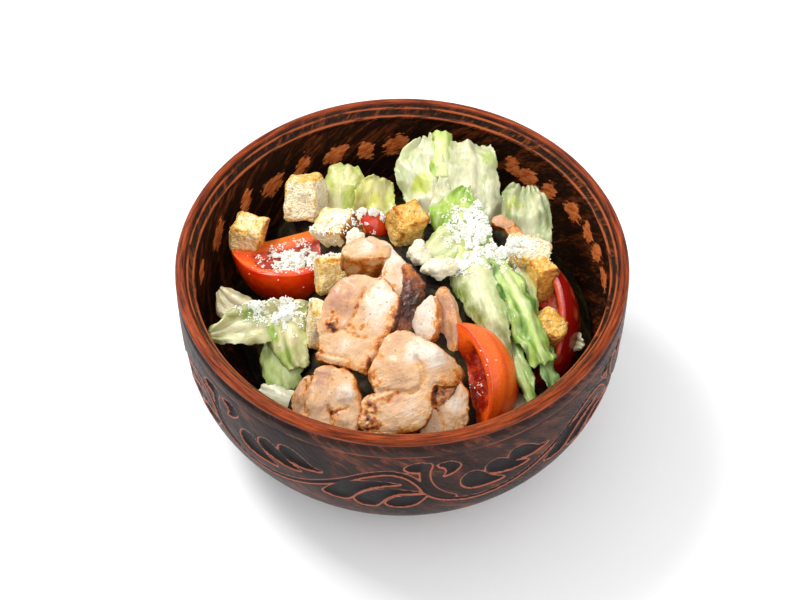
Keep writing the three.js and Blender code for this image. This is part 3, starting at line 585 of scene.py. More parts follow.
def make_dressed_lettuce_in_shade():
    shaded_heap_finish, wire, link = finish("dressed lettuce in painted shade", Roughness=0.55, Specular_IOR_Level=0.2)
    place = wire.place()
    # the heap's tones are all dark: painted shade over the dressed lettuce
    tones = [(0.35, "120d07"), (0.52, "271f0f"), (0.66, "4f4b22"), (0.84, "8e8a48")]
    tone = wire.ramp(wire.grain(place, 9, 4.0, 0.6), tones)
    # near black in the low parts of the crumple: painted shade
    shade = wire.band(wire.read("crumple"), -0.7, 1.3, 0.0, 0.8)
    link("Base Color", wire.mix(shade, "0e0a06", tone))
    link("Normal", wire.bump(wire.grain(place, 1.6, 4.0, 0.6), 0.7))
    return shaded_heap_finish


settle(make_heap(), make_dressed_lettuce_in_shade(), "lettuce", "lettuce")

# ---------------------------------------------------------------------------------------------
# Lettuce leaves: iceberg torn by hand, thin and pleated, pale at the rib and greener to the edge.
# Each leaf is one sheet that thickens to its rib, with a ragged edge and veins that fan out.
# ---------------------------------------------------------------------------------------------

# base and tip are the ends of a leaf's midline, and face is the way its upper side looks. edges are its
# two torn sides at even steps from base to tip, in mm from the midline. arch bows the leaf along and cup
# across (1 over its radius), pleats are (how many, how deep), ruffle waves its sides, crumple creases it.
# tones run from the rib to the edge, and green is how far the blade turns to the second. patches are
# (across, along, radius, tone), some of them painted shade, and lines is how strongly fine lines run along
# it.
LEAVES = {
    "leaf_back_left": {
        "base": (-30, 40, 61), "tip": (-22, 66, 68), "face": (-0.1, -0.6, 0.75),
        "edges": ((-6, -7, -8.2, -8.8, -9, -9, -6), (12, 12.6, 13, 13, 12, 8, 3)),
        "arch": 3, "cup": -0.04, "pleats": (2, 1.8), "ruffle": 1.6, "crumple": 1.7,
        "tones": ("eae59a", "bcc93c"), "green": 0.55, "patches": [(4, 12, 5, "bccb35")],
    },
    "leaf_back_middle": {
        "base": (-12, 36, 61), "tip": (-8, 59, 67), "face": (0.1, -0.6, 0.8),
        "edges": ((-10, -11, -12, -12, -11, -9, -5), (6.5, 7, 7, 6.6, 6.3, 5.5, 4)),
        "arch": 3.5, "cup": 0.04, "pleats": (2, 1.8), "ruffle": 1.4, "crumple": 1.6,
        "tones": ("ece498", "ccd04c"), "green": 0.55, "patches": [(-2, 10, 5, "dcd83c")],
    },
    "leaf_back_lobe": {
        "base": (15, 37, 67), "tip": (10.5, 72, 80), "face": (-0.1, -0.7, 0.7),
        "edges": ((-10, -11, -13, -15, -15.6, -11, -3), (10, 9, 7.5, 6, 4.5, 3, 2.5)),
        "arch": 2.5, "cup": -0.025, "pleats": (2, 2.2), "ruffle": 1.5, "crumple": 1.7,
        "tones": ("efedcc", "cdda90"), "green": 0.5,
        "patches": [(-4, 14, 5, "cfdc50"), (-13, 21, 4, "cfd8a4")],
    },
    "leaf_back_sheet": {
        "base": (27, 30, 68), "tip": (30, 70, 79), "face": (0.15, -0.7, 0.7),
        "edges": ((-18, -17, -15.5, -14.5, -14, -13, -11), (20, 17, 14.4, 13, 11.6, 10, 8)),
        "arch": 2.6, "cup": -0.02, "pleats": (2, 1.5), "ruffle": 0.9, "crumple": 1.5,
        "tones": ("ebe8c2", "c8d284"), "green": 0.4,
        "patches": [(7, 33, 4, "c8d67c"), (-14, 12, 5, "f3eec0")],
    },
    "leaf_curled_tip": {
        "base": (18, 50, 79), "tip": (18.2, 73, 84), "face": (0, -0.5, 0.86),
        "edges": ((-5, -8, -9.6, -10, -10, -9.6, -9), (3, 5, 6, 6.4, 6.4, 6.2, 6)),
        "arch": 1.2, "cup": -0.2, "pleats": (3, 0.35), "ruffle": 0.5, "crumple": 0.5,
        "tones": ("dcea80", "a2c634"), "green": 0.7, "patches": [(-5, 4, 3, "a2c634")],
    },
    "leaf_crumpled": {
        "base": (51, 22, 67), "tip": (58, 49, 71), "face": (-0.1, -0.6, 0.8),
        "edges": ((-6, -9, -12, -13, -14, -14.5, -12), (10.4, 10.4, 10, 8.6, 6.4, 3.4, -1.6)),
        "arch": 4, "cup": -0.035, "pleats": (5, 2.2), "ruffle": 2, "crumple": 3.2,
        "tones": ("d8dcae", "a3b270"), "green": 0.65,
        "patches": [(-8, 14, 4, "c8d074"), (-10, 8, 3, "a9b878")],
    },
    "leaf_bright": {
        "base": (22, 3, 74), "tip": (27.5, 44, 79), "face": (-0.15, -0.45, 0.9),
        "edges": ((-3, -6, -9.5, -13, -14.5, -8.5, -1.6), (14, 15, 14, 11.5, 8.4, 4.6, 1.6)),
        "arch": 3, "cup": -0.02, "pleats": (3, 0.8), "ruffle": 1.6, "crumple": 0.9,
        "tones": ("cfe470", "86bc20"), "green": 0.85,
        "patches": [(2.5, 35, 5, "97c42f"), (-9, 20, 6, "93bd2c")],
    },
    "leaf_under_cheese": {
        "base": (11, 9, 74.5), "tip": (26, 22, 76.5), "face": (-0.2, -0.5, 0.85),
        "edges": ((-4, -5.4, -6.4, -6.6, -6.4, -6, -5), (5, 7, 8, 8, 7, 6, 4)),
        "arch": 1.6, "cup": -0.06, "pleats": (3, 1.4), "ruffle": 1.2, "crumple": 1.8,
        "tones": ("e6ecae", "b4cc66"), "green": 0.6,
    },
    "leaf_rib": {
        "base": (28, 9, 77.5), "tip": (41.5, -45, 70.5), "face": (-0.3, -0.35, 0.88),
        "edges": ((-6.7, -7.4, -8, -8, -6.6, -4.4, -1.6), (11, 12.2, 10.6, 8.2, 5, 2.2, 0.6)),
        "arch": 5, "cup": -0.05, "pleats": (1, 0.35), "ruffle": 0.4, "crumple": 0.4, "lines": 0.5,
        "tones": ("e2e5ac", "8fa344"), "green": 0.5,
        # the rib leaf's patches darken its lower left side to olive: painted shade
        "patches": [(11, 20, 7, "8c9c40"), (8, 32, 9, "868e38"), (2, 46, 11, "7c7e36")],
    },
    "leaf_folded": {
        "base": (35, 10, 76.5), "tip": (55, -44, 71.5), "face": (0.3, -0.3, 0.88),
        "edges": ((-3, -4.4, -6.4, -7.4, -7.6, -6.6, -4.6), (2.6, 4.6, 6.8, 8.8, 9.6, 8.4, 4.6)),
        "arch": 5.5, "cup": -0.12, "pleats": (3, 1.3), "ruffle": 1.8, "crumple": 1.9, "lines": 1.1,
        "tones": ("cae86c", "447c0c"), "green": 0.9,
        "patches": [(2, 4, 5, "76b030"), (6, 12, 4, "418812")],
    },
    "leaf_folded_tail": {
        "base": (51, -33, 69.5), "tip": (57, -55.5, 67), "face": (0.5, -0.4, 0.75),
        "edges": ((-6.5, -6.4, -5.6, -5, -4.4, -3.6, -2.6), (2.6, 3, 3.2, 3.2, 3.2, 2.6, 1.6)),
        "arch": 1.5, "cup": 0.1, "pleats": (2, 0.8), "ruffle": 1.3, "crumple": 1.2,
        "tones": ("86b83c", "3c7a18"), "green": 0.9,
    },
    "leaf_folded_under": {
        "base": (42, -26, 70), "tip": (50.5, -58, 66), "face": (-0.4, -0.35, 0.8),
        "edges": ((-3.6, -4.2, -4.6, -4.4, -4, -3.6, -2), (2, 3.4, 3.6, 3, 2.4, 2, 1.4)),
        "arch": 2.6, "cup": -0.12, "pleats": (2, 0.6), "ruffle": 1, "crumple": 1,
        "tones": ("9cc04a", "55801e"), "green": 0.7, "patches": [(2, 12, 4, "8fae48")],
    },
    "leaf_right_small": {
        "base": (47, 6, 73), "tip": (52.5, -18, 72), "face": (0.3, -0.4, 0.86),
        "edges": ((-4, -5, -5, -4, -3, -2.2, -1.4), (4.4, 4.4, 3.4, 2.4, 1.4, 1, 0.8)),
        "arch": 2, "cup": -0.06, "pleats": (2, 0.5), "ruffle": 0.8, "crumple": 0.8,
        "tones": ("cfdc8c", "94b448"), "green": 0.7,
    },
    "leaf_left_wall": {
        "base": (-46, -17, 65.5), "tip": (-78.5, -28.5, 70.5), "face": (-0.05, -0.5, 0.86),
        "edges": ((-8.6, -8.2, -8, -7.6, -6, -4.4, -1), (8, 8.4, 8.6, 8.4, 8, 4, 1)),
        "arch": 2.4, "cup": 0.03, "pleats": (3, 2.0), "ruffle": 1.4, "crumple": 1.5,
        "tones": ("f0e6b4", "a2b248"), "green": 0.6,
        "patches": [(4, 14, 5, "98b448"), (-6, 24, 5, "ece6bc")],
    },
    "leaf_left_back": {
        "base": (-58, -13, 63), "tip": (-73.5, -1, 67), "face": (0.1, -0.6, 0.8),
        "edges": ((-7, -8, -9.2, -10, -9.6, -7, -3), (5, 4.6, 4, 3.4, 2.6, 2, 1)),
        "arch": 2.4, "cup": -0.06, "pleats": (3, 1.1), "ruffle": 1.4, "crumple": 1.8,
        "tones": ("e2d3ac", "bfae74"), "green": 0.55,
    },
    "leaf_left_hanging": {
        "base": (-45, -11, 69.5), "tip": (-41.5, -39, 61.5), "face": (-0.15, -0.5, 0.85),
        "edges": ((-7.2, -7, -6.8, -6.5, -6.2, -6, -5), (9.7, 10.8, 11.4, 10.8, 8.6, 6, 3.5)),
        "arch": 4, "cup": -0.05, "pleats": (3, 1.6), "ruffle": 1.2, "crumple": 1.3, "lines": 0.5,
        "tones": ("ebe2a6", "9fb440"), "green": 0.5,
        "patches": [(8.5, 14, 4, "9cbd3c"), (2, 24, 4, "a8c44c")],
    },
    "leaf_left_low": {
        "base": (-45, -22, 64.5), "tip": (-45.5, -44.5, 56), "face": (-0.2, -0.5, 0.85),
        "edges": ((-7, -7, -7.2, -7.4, -7.4, -7, -6), (9, 10.4, 11.2, 11.6, 10.8, 9, 6.6)),
        "arch": 3, "cup": -0.045, "pleats": (2, 0.5), "ruffle": 0.9, "crumple": 0.6,
        "tones": ("d4e292", "a0c450"), "green": 0.7,
    },
    "lettuce_stem": {
        "base": (-35, -54, 56.5), "tip": (-56.5, -45, 57), "face": (-0.2, -0.5, 0.85),
        "edges": ((-7, -7.6, -7.6, -7, -6, -4.4, -2), (4.5, 5, 5.2, 5, 4.6, 4, 2.6)),
        "arch": 2.4, "cup": -0.09, "pleats": (2, 0.3), "ruffle": 0.3, "crumple": 0.35,
        "tones": ("eae6c8", "ccc898"), "green": 0.4,
    },
    "scrap_right": {
        "base": (60, -12, 50), "tip": (73, -30, 66), "face": (-0.3, -0.4, 0.86),
        "edges": ((-5, -6, -6.6, -6.4, -6, -4, -2), (5, 6, 6.4, 6.4, 5.6, 4, 2)),
        "arch": 2, "cup": 0.06, "pleats": (3, 0.8), "ruffle": 1.2, "crumple": 1.2,
        "tones": ("e9e4c0", "bcc489"), "green": 0.5,
    },
    "scrap_front_right": {
        "base": (42, -42, 50), "tip": (48, -63, 62), "face": (0, -0.4, 0.9),
        "edges": ((-5, -6, -6, -5.6, -5, -4, -2), (5, 6, 6, 5.6, 5, 4, 2)),
        "arch": 2, "cup": -0.06, "pleats": (2, 0.6), "ruffle": 0.8, "crumple": 0.8,
        "tones": ("e2d6b8", "b0a878"), "green": 0.5,
    },
}
LEAF_MESH = 0.6
THIN, THICK = 0.5, 1.7
LEAF_GAP = 1.1
TEAR_DEPTH = 0.85
RAG_DEPTH = 1.1
RUFFLE_LENGTH = 13
FAINT_LINES = 0.15
LEAF_SHADE = 0.75
# How the sides are torn: where in the noise, the size of the rags, their seed and their depth.
TEARS = [(3, 2.6, 0, 1), (5, 0.9, 0, 0.5), (7, 6.5, 10, 0.9)]


def unit(direction):
    return np.array(direction, dtype=float) / np.linalg.norm(direction)


def torn_sheet(leaf, length, u, v, seed):
    """The leaf laid flat with torn sides and a ragged end: its middle, and each point across and down."""
    one_edge, other_edge = leaf["edges"]
    steps = np.linspace(0, 1, len(one_edge))
    low, high = np.interp(v, steps, one_edge), np.interp(v, steps, other_edge)
    across = low + (high - low) * (u + 1) / 2
    down = v * length
    sign = np.sign(u)
    torn = sum(deep * grain_of(np.column_stack([sign * shift, down, v]), size, seed + more)
               for shift, size, more, deep in TEARS)
    across += TEAR_DEPTH * torn * sign * smooth_step(0.6, 1, np.abs(u))
    end = np.column_stack([across, v, v])
    ragged = grain_of(end, 2.4, seed + 9) + 0.5 * grain_of(end, 0.9, seed + 11)
    down += (RAG_DEPTH * ragged - 0.5) * smooth_step(0.86, 1, v)
    return (low + high) / 2, across, down


def blade_tones(leaf, sheet, turned, seed):
    """The leaf's two tones, mixed by how far it turns to the second, with its patches over them."""
    pale, green = (np.array(linear(tone)) for tone in leaf["tones"])
    blade = pale + turned[:, None] * (green - pale)
    for spot_across, spot_down, radius, tone in leaf.get("patches", []):
        away = np.hypot(sheet[:, 0] - spot_across, sheet[:, 1] - spot_down) / radius
        away = away + 0.35 * grain_of(sheet, 3.5, seed + 6)
        share = smooth_step(1.25, 0.55, away)[:, None]
        blade = blade + share * (np.array(linear(tone)) - blade)
    return LEAF_SHADE * blade


def thicken(piece, rib):
    """Gives a sheet its thickness, which grows from the edges to the rib."""
    ribs = piece.vertex_groups.new(name="rib")
    for index, share in enumerate(rib):
        ribs.add([index], share, "REPLACE")
    modify(piece, "SOLIDIFY", thickness=THICK * MM, offset=0, vertex_group="rib",
           thickness_vertex_group=THIN / THICK)
    face_out(piece)
    piece.vertex_groups.clear()


def make_leaf(name, leaf, seed):
    base, tip = np.array(leaf["base"], float), np.array(leaf["tip"], float)
    length = np.linalg.norm(tip - base)
    along = unit(tip - base)
    side = unit(np.cross(along, leaf["face"]))
    normal = np.cross(side, along)
    width = max(leaf["edges"][1]) - min(leaf["edges"][0])
    columns, rows = round(width / LEAF_MESH), round(length / LEAF_MESH)
    piece = start(name, "grid", x_subdivisions=columns, y_subdivisions=rows, size=2)
    flat = points_of(piece)
    u, v = flat[:, 0], (flat[:, 1] + 1) / 2
    outer = np.abs(u)
    middle, across, down = torn_sheet(leaf, length, u, v, seed)
    sheet = np.column_stack([across, down, np.zeros(len(u))])
    # how far the sheet stands off its plane: cupped, arched, pleated, ruffled and creased
    bend = leaf["cup"] * (across - middle)
    spread = middle + np.sin(bend) / leaf["cup"]
    lift = (1 - np.cos(bend)) / leaf["cup"] + leaf["arch"] * np.sin(math.pi * v)
    count, deep = leaf["pleats"]
    fold = math.pi * count * (u + 0.5 * grain_of(sheet, 16, seed + 2)) + seed
    lift += 0.4 * deep * np.sin(fold) * (0.35 + 0.65 * v)
    lift += 1.7 * deep * ridged(sheet, 17, seed + 7)
    wave = np.sin(2 * math.pi * length / RUFFLE_LENGTH * v + 2.1 * (u < 0) + seed)
    lift += leaf["ruffle"] * outer**3 * wave
    lines = grain_of(sheet * [1, 0.1, 1], 1.7, seed + 8) * leaf.get("lines", FAINT_LINES)
    lift += 0.5 * lines
    loose = 0.3 + 0.7 * smooth_step(0.1, 0.6, outer)
    creases = ridged(sheet, 10, seed) + 0.3 * ridged(sheet, 4.5, seed + 5)
    lift += 0.8 * leaf["crumple"] * creases * loose
    points = base + np.outer(down, along) + np.outer(spread, side) + np.outer(lift, normal)
    set_points(piece, keep_in_bowl(points, LEAF_GAP) * MM)
    # greener to the edge and pale at the rib, and greener still in the low folds of the crumple as painted
    # shade
    rib = hump(across, 0, 1 + 2.4 * (1 - v)) * (1 - 0.75 * v)
    turned = leaf["green"] * (0.35 + 0.65 * outer**1.3 + 0.3 * (v - 0.45)) - 0.5 * rib
    turned += 0.3 * grain_of(sheet, 9, seed + 3) + 0.12 * grain_of(sheet, 2.5, seed + 4)
    # darker green in the low folds between the crumple's crests: painted shade
    turned += 0.35 * (0.5 - creases) * loose
    stamp(piece, "blade", blade_tones(leaf, sheet, np.clip(turned + lines, 0, 1), seed))
    stamp(piece, "sheet", np.column_stack([across, down, rib]))
    thicken(piece, rib)
    return piece


def stripes(wire, value, count, width):
    """Thin lines at even steps of a value."""
    return wire.band(wire.calc("ABSOLUTE", wire.calc("SINE", wire.times(value, count))), width, 0.0)


def make_leaf_finish():
    leaf, wire, link = finish("iceberg leaf", Roughness=0.3, Subsurface_Weight=0.25, Subsurface_Scale=0.002)
    place = wire.place()
    sheet = wire.read("sheet", "Vector")
    across, down, rib = wire.add("SeparateXYZ", {0: sheet}).node.outputs
    bend = wire.swing(wire.grain(place, 7, 3.0, 0.5), 4.5)
    fan = wire.calc("DIVIDE", wire.plus(across, bend), wire.plus(down, 16.0))
    vein = wire.times(stripes(wire, fan, 21.0, 0.17), wire.band(wire.grain(place, 9, 2.0), 0.4, 0.6))
    branch = wire.minus(down, wire.times(wire.calc("ABSOLUTE", across), 1.2))
    branch = stripes(wire, wire.plus(branch, wire.times(bend, 2.2)), 0.62, 0.1)
    mottle = wire.grain(wire.stretch(sheet, (1, 0.36, 0)), 2.4, 4.0, 0.6)
    fine = wire.grain(place, 0.9, 3.0, 0.6)
    blade = wire.read("blade", "Color")
    # the mottle that raises the fine relief also pales its tops: painted light
    colour = wire.mix(wire.band(mottle, 0.45, 0.7, 0.0, 0.35), blade, "efeec4")
    light = wire.calc("MAXIMUM", wire.times(vein, 0.38), wire.times(branch, 0.18))
    colour = wire.mix(light, colour, "ecebc0")
    # and darkens its dips: painted shade
    deep = wire.add("MixRGB", {0: 1.0, 1: blade, 2: "b3bc74"}, blend_type="MULTIPLY")
    colour = wire.mix(wire.band(mottle, 0.5, 0.3, 0.0, 0.5), colour, deep)
    link("Base Color", wire.mix(wire.times(rib, 0.45), colour, "eeeac6"))
    height = wire.plus(wire.times(vein, 0.45), wire.times(mottle, 0.4))
    height = wire.plus(height, wire.times(wire.plus(branch, fine), 0.22))
    link("Normal", wire.bump(height, 0.32))
    return leaf


leaf_finish = make_leaf_finish()
leaves = []
for number, (leaf_name, leaf_sizes) in enumerate(LEAVES.items()):
    leaves.append(settle(make_leaf(leaf_name, leaf_sizes, number), leaf_finish, "lettuce", "lettuce"))

# ---------------------------------------------------------------------------------------------
# Chicken: slices of fried thigh, cut across. The cut faces are pale and fibrous with seams between
# the muscles, and the rims and outsides are browned, oily and spiced.
# ---------------------------------------------------------------------------------------------

MEAT_VOXEL = 0.5
SMALL_STAIN = 5
NO_DROOP = ((1, 0), 99, 0)
WANDERING_EDGE = 0.8
# Each piece is one slab or more. outline is the edge of a slab's cut face, on its own plane, and sink is
# how far the slab lies below that plane. domes are (u, v, radius, rise), seams are (depth, browning, path),
# stains are (u, v, radius, browning), and blushes are (u, v, radius, pinkness), white where it is less
# than 0: the white is pale flesh in part and painted highlight in part. grain is the turn of the fibres in
# degrees, rim is how far the edge is rounded, and crust is the way that the most browned side looks, with
# how brown it is. droop bends a slab down: the way it goes, where it starts, and its steepness.
CHICKEN = {
    "chicken_slice_1": [{
        "at": (-15, -29.8, 80), "normal": (-0.2, -0.42, 0.88), "thickness": 8.5,
        "outline": [(-13.5, 10.9), (-11.3, 14.9), (-7.2, 17.8), (0.5, 18.8), (6, 17.3), (9.6, 16.6),
                    (12.4, 12), (14, 8), (12.9, -1), (9, -10), (3.7, -18), (1.6, -20.6), (-3.9, -17.5),
                    (-13.5, -15.4), (-17.3, -13.8), (-18, -10.8), (-16, -7.7), (-17.5, -2), (-16.6, 4)],
        "domes": [(-8, 9.5, 7, 1.3), (6.5, 7, 7.5, 0.6), (-5.5, -9.5, 6.5, 0.9), (3, -3, 4, -0.5)],
        "seams": [(0.9, 0.2, [(-16.6, -4.6), (-11.1, -3.2), (-6, -2.3), (-4.3, 0.8), (-2.6, 4), (-0.9, 8),
                              (1.2, 13)]),
                  (0.6, 0.1, [(-3.9, -1.6), (-2.2, -5), (2.5, -6.5)]),
                  (0.5, 0.08, [(-15, -11.6), (-11, -13), (-4.9, -14.2)]),
                  (0.5, 0.1, [(4.5, 14), (3.5, 11.5), (5, 9.5)])],
        "stains": [(-11.4, 0.1, 2.2, 0.8), (-10.3, 4.1, 1.7, 0.5), (-12.6, -2.5, 3, 0.4),
                   (0.8, -2.2, 3.4, 0.22), (-17.5, -10.5, 3, 0.75), (-9, -9.5, 5, 0.06), (2, -13, 4, 0.1),
                   (5.5, -8, 2.4, 0.16), (-4.5, -3.6, 2.4, 0.14), (7.6, 12.6, 1.8, 0.1), (13.6, 0, 3, 0.5),
                   (12, -5, 2.6, 0.45), (9, -9.6, 2.6, 0.45), (5, -15, 2.8, 0.45), (3, -19, 3, 0.4)],
        "blushes_and_highlights": [(-8.5, 9, 6.5, 1.2), (-6, 15, 4, 0.6), (-10, 0, 5, 0.6), (8, 8, 6.5, -1),
                    (6, -1, 4, -0.5), (-6, -9, 4, -0.4)],
        "grain": 62, "rim": 2.2, "droop": ((0.8, -0.6), 9, 0.09), "crust": ((0.8, -0.5, -0.3), 0.65),
    }, {
        "at": (-15, -29.8, 80), "normal": (-0.2, -0.42, 0.88), "thickness": 5, "sink": 3.6,
        "outline": [(-9, -13), (-1.6, -15), (3, -16.5), (5.6, -25), (4.2, -30), (-0.4, -28.5), (-5, -22.3)],
        "stains": [(0, -24, 9, 0.6)],
        "grain": 80, "rim": 2.2, "crust": ((0.8, -0.5, -0.3), 0.4),
    }],
    "chicken_slice_2": [{
        "at": (4.8, -53.5, 75.5), "normal": (-0.1, -0.5, 0.86), "thickness": 9,
        "outline": [(-12.9, 10.6), (-9.6, 16.5), (-5.3, 19), (0.1, 17.6), (6.9, 13.6), (13, 9.8),
                    (16.7, 5.7), (17.5, 2.7), (15.9, -1.9), (11.4, -2.6), (8, -1.8), (6.9, -4.8),
                    (6.7, -10.1), (5.7, -13.8), (2.3, -18.7), (-5.3, -20.2), (-15.9, -19.6), (-20.4, -17.8),
                    (-20.1, -12.9), (-18.6, -7.6), (-14, -5.4), (-14.6, -3.1), (-16.7, 0.8), (-16.7, 4.6)],
        "domes": [(-5.4, 4.6, 7, 1.5), (7.7, 8.3, 5, 1.4), (-3, -12.5, 6.5, 1.0), (1.5, 12, 4, 0.3)],
        "seams": [(1.3, 0.1, [(0.6, 8.4), (2.6, 4.8), (3.4, 0.3), (1.6, -3.3), (-1.5, -5), (-5.4, -4.8),
                              (-9, -6.6), (-9.6, -8.4)]),
                  (0.9, 0.12, [(-15.1, -5.4), (-10.3, -4.3), (-6.4, -4.5)])],
        "stains": [(-13.8, -1.9, 2.2, 0.45), (-15.6, -9, 2.6, 0.65), (-17.6, -14.2, 2.6, 0.8),
                   (-18.6, -18, 3, 0.7), (-13.6, -12.5, 2, 0.35), (-13.4, -17.5, 2.2, 0.45),
                   (-5.2, -18.6, 2, 0.3), (-15.1, 2.7, 3.2, 0.28), (-12.6, 9, 2.6, 0.15),
                   (-11, -7, 1.6, 0.25), (15.2, 2, 3, 0.12), (12, -0.6, 2.6, 0.12)],
        "blushes_and_highlights": [(-6, 2.5, 6, 0.5), (-6, 16, 4, 0.6), (-6.5, -7.2, 3, 0.7), (12.5, 2.5, 4, 0.7),
                    (7.5, 8.6, 4.5, -1), (0, 13, 5, -0.7), (-2, 6, 4, -0.4), (-2, -11, 4, -0.4)],
        "grain": 20, "rim": 2.6, "droop": ((0.98, 0.1), 8, 0.085), "crust": ((0.8, -0.5, -0.3), 0.45),
    }, {
        "at": (4.8, -53.5, 75.5), "normal": (-0.05, -0.55, 0.84), "thickness": 6, "sink": 1.9,
        "outline": [(5.6, 1), (11.1, 1.4), (16.3, 2.4), (15.7, -1.6), (13.4, -6.2), (9.8, -10.7), (6, -15),
                    (4.4, -12), (4.6, -5)],
        "stains": [(6, -10, 3.4, 0.6), (8, -4.6, 3, 0.5), (10.6, -7.4, 3, 0.45), (12.6, -2.6, 3, 0.4),
                   (15, 1, 3, 0.3), (9, -5, 9, 0.14)],
        "grain": 80, "rim": 3, "crust": ((0.8, -0.5, -0.3), 0.5),
    }],
    "chicken_slice_3": [{
        "at": (-25.6, -58, 70), "normal": (0, -0.5, 0.86), "thickness": 8,
        "outline": [(-6.5, 11.2), (-1.2, 12.2), (4.2, 10.5), (7.6, 7.1), (9.6, 1.3), (10.3, -5),
                    (9.1, -10.8), (7.7, -15), (-0.5, -16), (-8.7, -13.7), (-9.8, -6), (-9.7, 1.3),
                    (-8.6, 7.1)],
        "domes": [(-5.6, -2, 5, 0.6), (4.2, 2.2, 5, 0.9), (4.5, -9, 3.4, 0.5)],
        "seams": [(1.5, 0.3, [(-2.4, -3.4), (-1.2, -6), (-0.9, -9.9), (-0.5, -15.6)]),
                  (0.6, 0.3, [(-1, -6.2), (1.9, -5), (4.8, -3.9)]),
                  (0.5, 0.1, [(-1.1, 11), (-1.6, 6.6), (-2.2, 3)])],
        "stains": [(1.4, -5.4, 1.7, 0.4), (-1.1, 6.6, 1.9, 0.14), (-8.8, 8, 3, 0.14), (9, -1, 2, 0.12)],
        "blushes_and_highlights": [(-5.5, 7.5, 5, 0.9), (-5, -5, 6, 0.4), (4.5, 3, 4.5, -0.6), (4, -9, 4, 0.3)],
        "grain": 85, "rim": 1.6, "crust": ((1, 0.3, 0), 0.5),
    }],
    "chicken_slice_4": [{
        "at": (-38, -54.5, 66), "normal": (-0.52, -0.46, 0.72), "thickness": 6,
        "outline": [(3.6, 8), (5.4, 3), (5, -6.5), (4.2, -9.6), (0, -9), (-3.4, -4), (-2, 3)],
        "domes": [(1, 0, 3, 0.5)],
        "seams": [(0.9, 0.3, [(2.6, 6), (2, 0), (2.6, -6)])],
        "stains": [(3.8, 4, 2, 0.3), (4.6, -4, 2, 0.3), (-2.6, 0, 2, 0.2)],
        "blushes_and_highlights": [(1, 0, 6, 0.7)],
        "grain": 80, "rim": 1.4, "crust": ((1, -0.2, 0), 0.3),
    }],
    "chicken_slice_5": [{
        "at": (8.7, -26.6, 80), "normal": (-0.42, -0.5, 0.76), "thickness": 5.5,
        "outline": [(4.7, 8), (5.8, 3), (5.8, -3.4), (4.2, -8.4), (2, -10.4), (-2.6, -8.6), (-5, -5),
                    (-3.4, 0.7), (-0.6, 5.6), (2, 7.8)],
        "domes": [(1, -1, 5, 0.2)],
        "stains": [(6.4, -2.4, 2.2, 0.22), (4.6, -8.6, 2.4, 0.3), (-5, -7, 2.4, 0.12)],
        "blushes_and_highlights": [(0, 0, 9, -1)],
        "grain": 75, "rim": 1.2, "crust": ((1, -0.3, 0), 0.12),
    }],
    "chicken_slice_6": [{
        "at": (18.4, -25.4, 76.5), "normal": (-0.41, -0.51, 0.76), "thickness": 5,
        "outline": [(-1.8, 12.8), (0.9, 9.8), (3.1, 3.4), (4.2, -2.2), (3.4, -8.8), (1.3, -13.4),
                    (-2.9, -12), (-4.6, -7.8), (-3.8, -1.5), (-3.8, 4.8), (-4.4, 10.6)],
        "domes": [(-0.6, 0, 4, 0.7)],
        "seams": [(0.5, 0.06, [(1.6, 8), (0.6, 1), (1.4, -8)])],
        "stains": [(3.8, 2, 1.8, 0.16), (-2.6, 12, 2, 0.4), (3, -9, 2, 0.2)],
        "blushes_and_highlights": [(-0.5, 0, 12, 1.2)],
        "grain": 84, "rim": 1.4, "crust": ((1, -0.3, 0), -0.05),
    }],
    "chicken_slice_7": [{
        "at": (18, -61.5, 67.2), "normal": (0.1, -0.5, 0.86), "thickness": 7,
        "outline": [(-1, 11.6), (4.4, 10.2), (6.6, 5.4), (7.2, -0.9), (5.6, -7), (-1.1, -11.6),
                    (-10.4, -12), (-10.6, -4), (-8, 4), (-4.6, 9.6)],
        "domes": [(1.5, 1, 5, 0.8)],
        "seams": [(0.7, 0.14, [(-5.6, 1), (-3.6, -4.2), (-1.6, -8.7)])],
        "stains": [(6.4, 1.5, 2.2, 0.18), (5.6, -5.4, 2.6, 0.4), (4.6, -8.6, 2.2, 0.5)],
        "blushes_and_highlights": [(-6.5, -4, 4, 0.25), (2, 3, 4, -0.6)],
        "grain": 70, "rim": 1.8, "crust": ((1, 0, 0), 0.45),
    }],
    # The curled slice: a thick cap with its crusted side to the front, the pale band that bends round
    # to the right, and the dark crust outside it.
    "chicken_curl": [{
        "at": (-15, -1, 84), "normal": (0.1, -0.04, 1), "thickness": 15,
        "outline": [(-9.6, 0), (-5.8, 4), (0.5, 6.2), (6.9, 5.6), (9.8, 1.4), (8.8, -2.8), (4.6, -3),
                    (-3.4, -3.6), (-8, -2.8)],
        "domes": [(-1, 1.5, 5, 0.5), (6, 2, 4, 1)],
        "stains": [(-1, -4.2, 2, 0.1), (7, -3, 2.8, 0.2), (-8.8, -1, 3, 0.24)],
        "blushes_and_highlights": [(0, 2, 4, -0.4)],
        "grain": 10, "rim": 1.6, "crust": ((0.1, -1, 0), 0.1),
    }, {
        "at": (0, -9, 82), "normal": (0.2, -0.25, 0.94), "thickness": 9,
        "outline": [(-14, 14.4), (-9.4, 15.4), (-4.5, 12), (-0.4, 6.8), (1.7, 0), (1.5, -5.7), (-0.3, -11),
                    (-2.9, -14), (-6.1, -10.3), (-7.7, -6.1), (-8.5, -1), (-7.8, 4.2), (-10, 9.6)],
        "domes": [(-4, 6, 5, 0.5), (-2.5, -4, 4, 0.5)],
        "seams": [(0.7, 0.3, [(-8.4, -4.6), (-6.4, -4.8), (-4.6, -5.4)]),
                  (0.5, 0.12, [(-8.8, 9), (-7.6, 4), (-7.8, 0)])],
        "stains": [(-6, -4.8, 1.5, 0.22), (-10, 10.6, 2, 0.1), (1.6, 2, 1.4, 0.2)],
        "blushes_and_highlights": [(-4, 8, 7, -0.8), (-3, -3, 6, -0.5)],
        "grain": 110, "rim": 1.5, "crust": ((0.9, -0.2, -0.2), 0.45),
    }, {
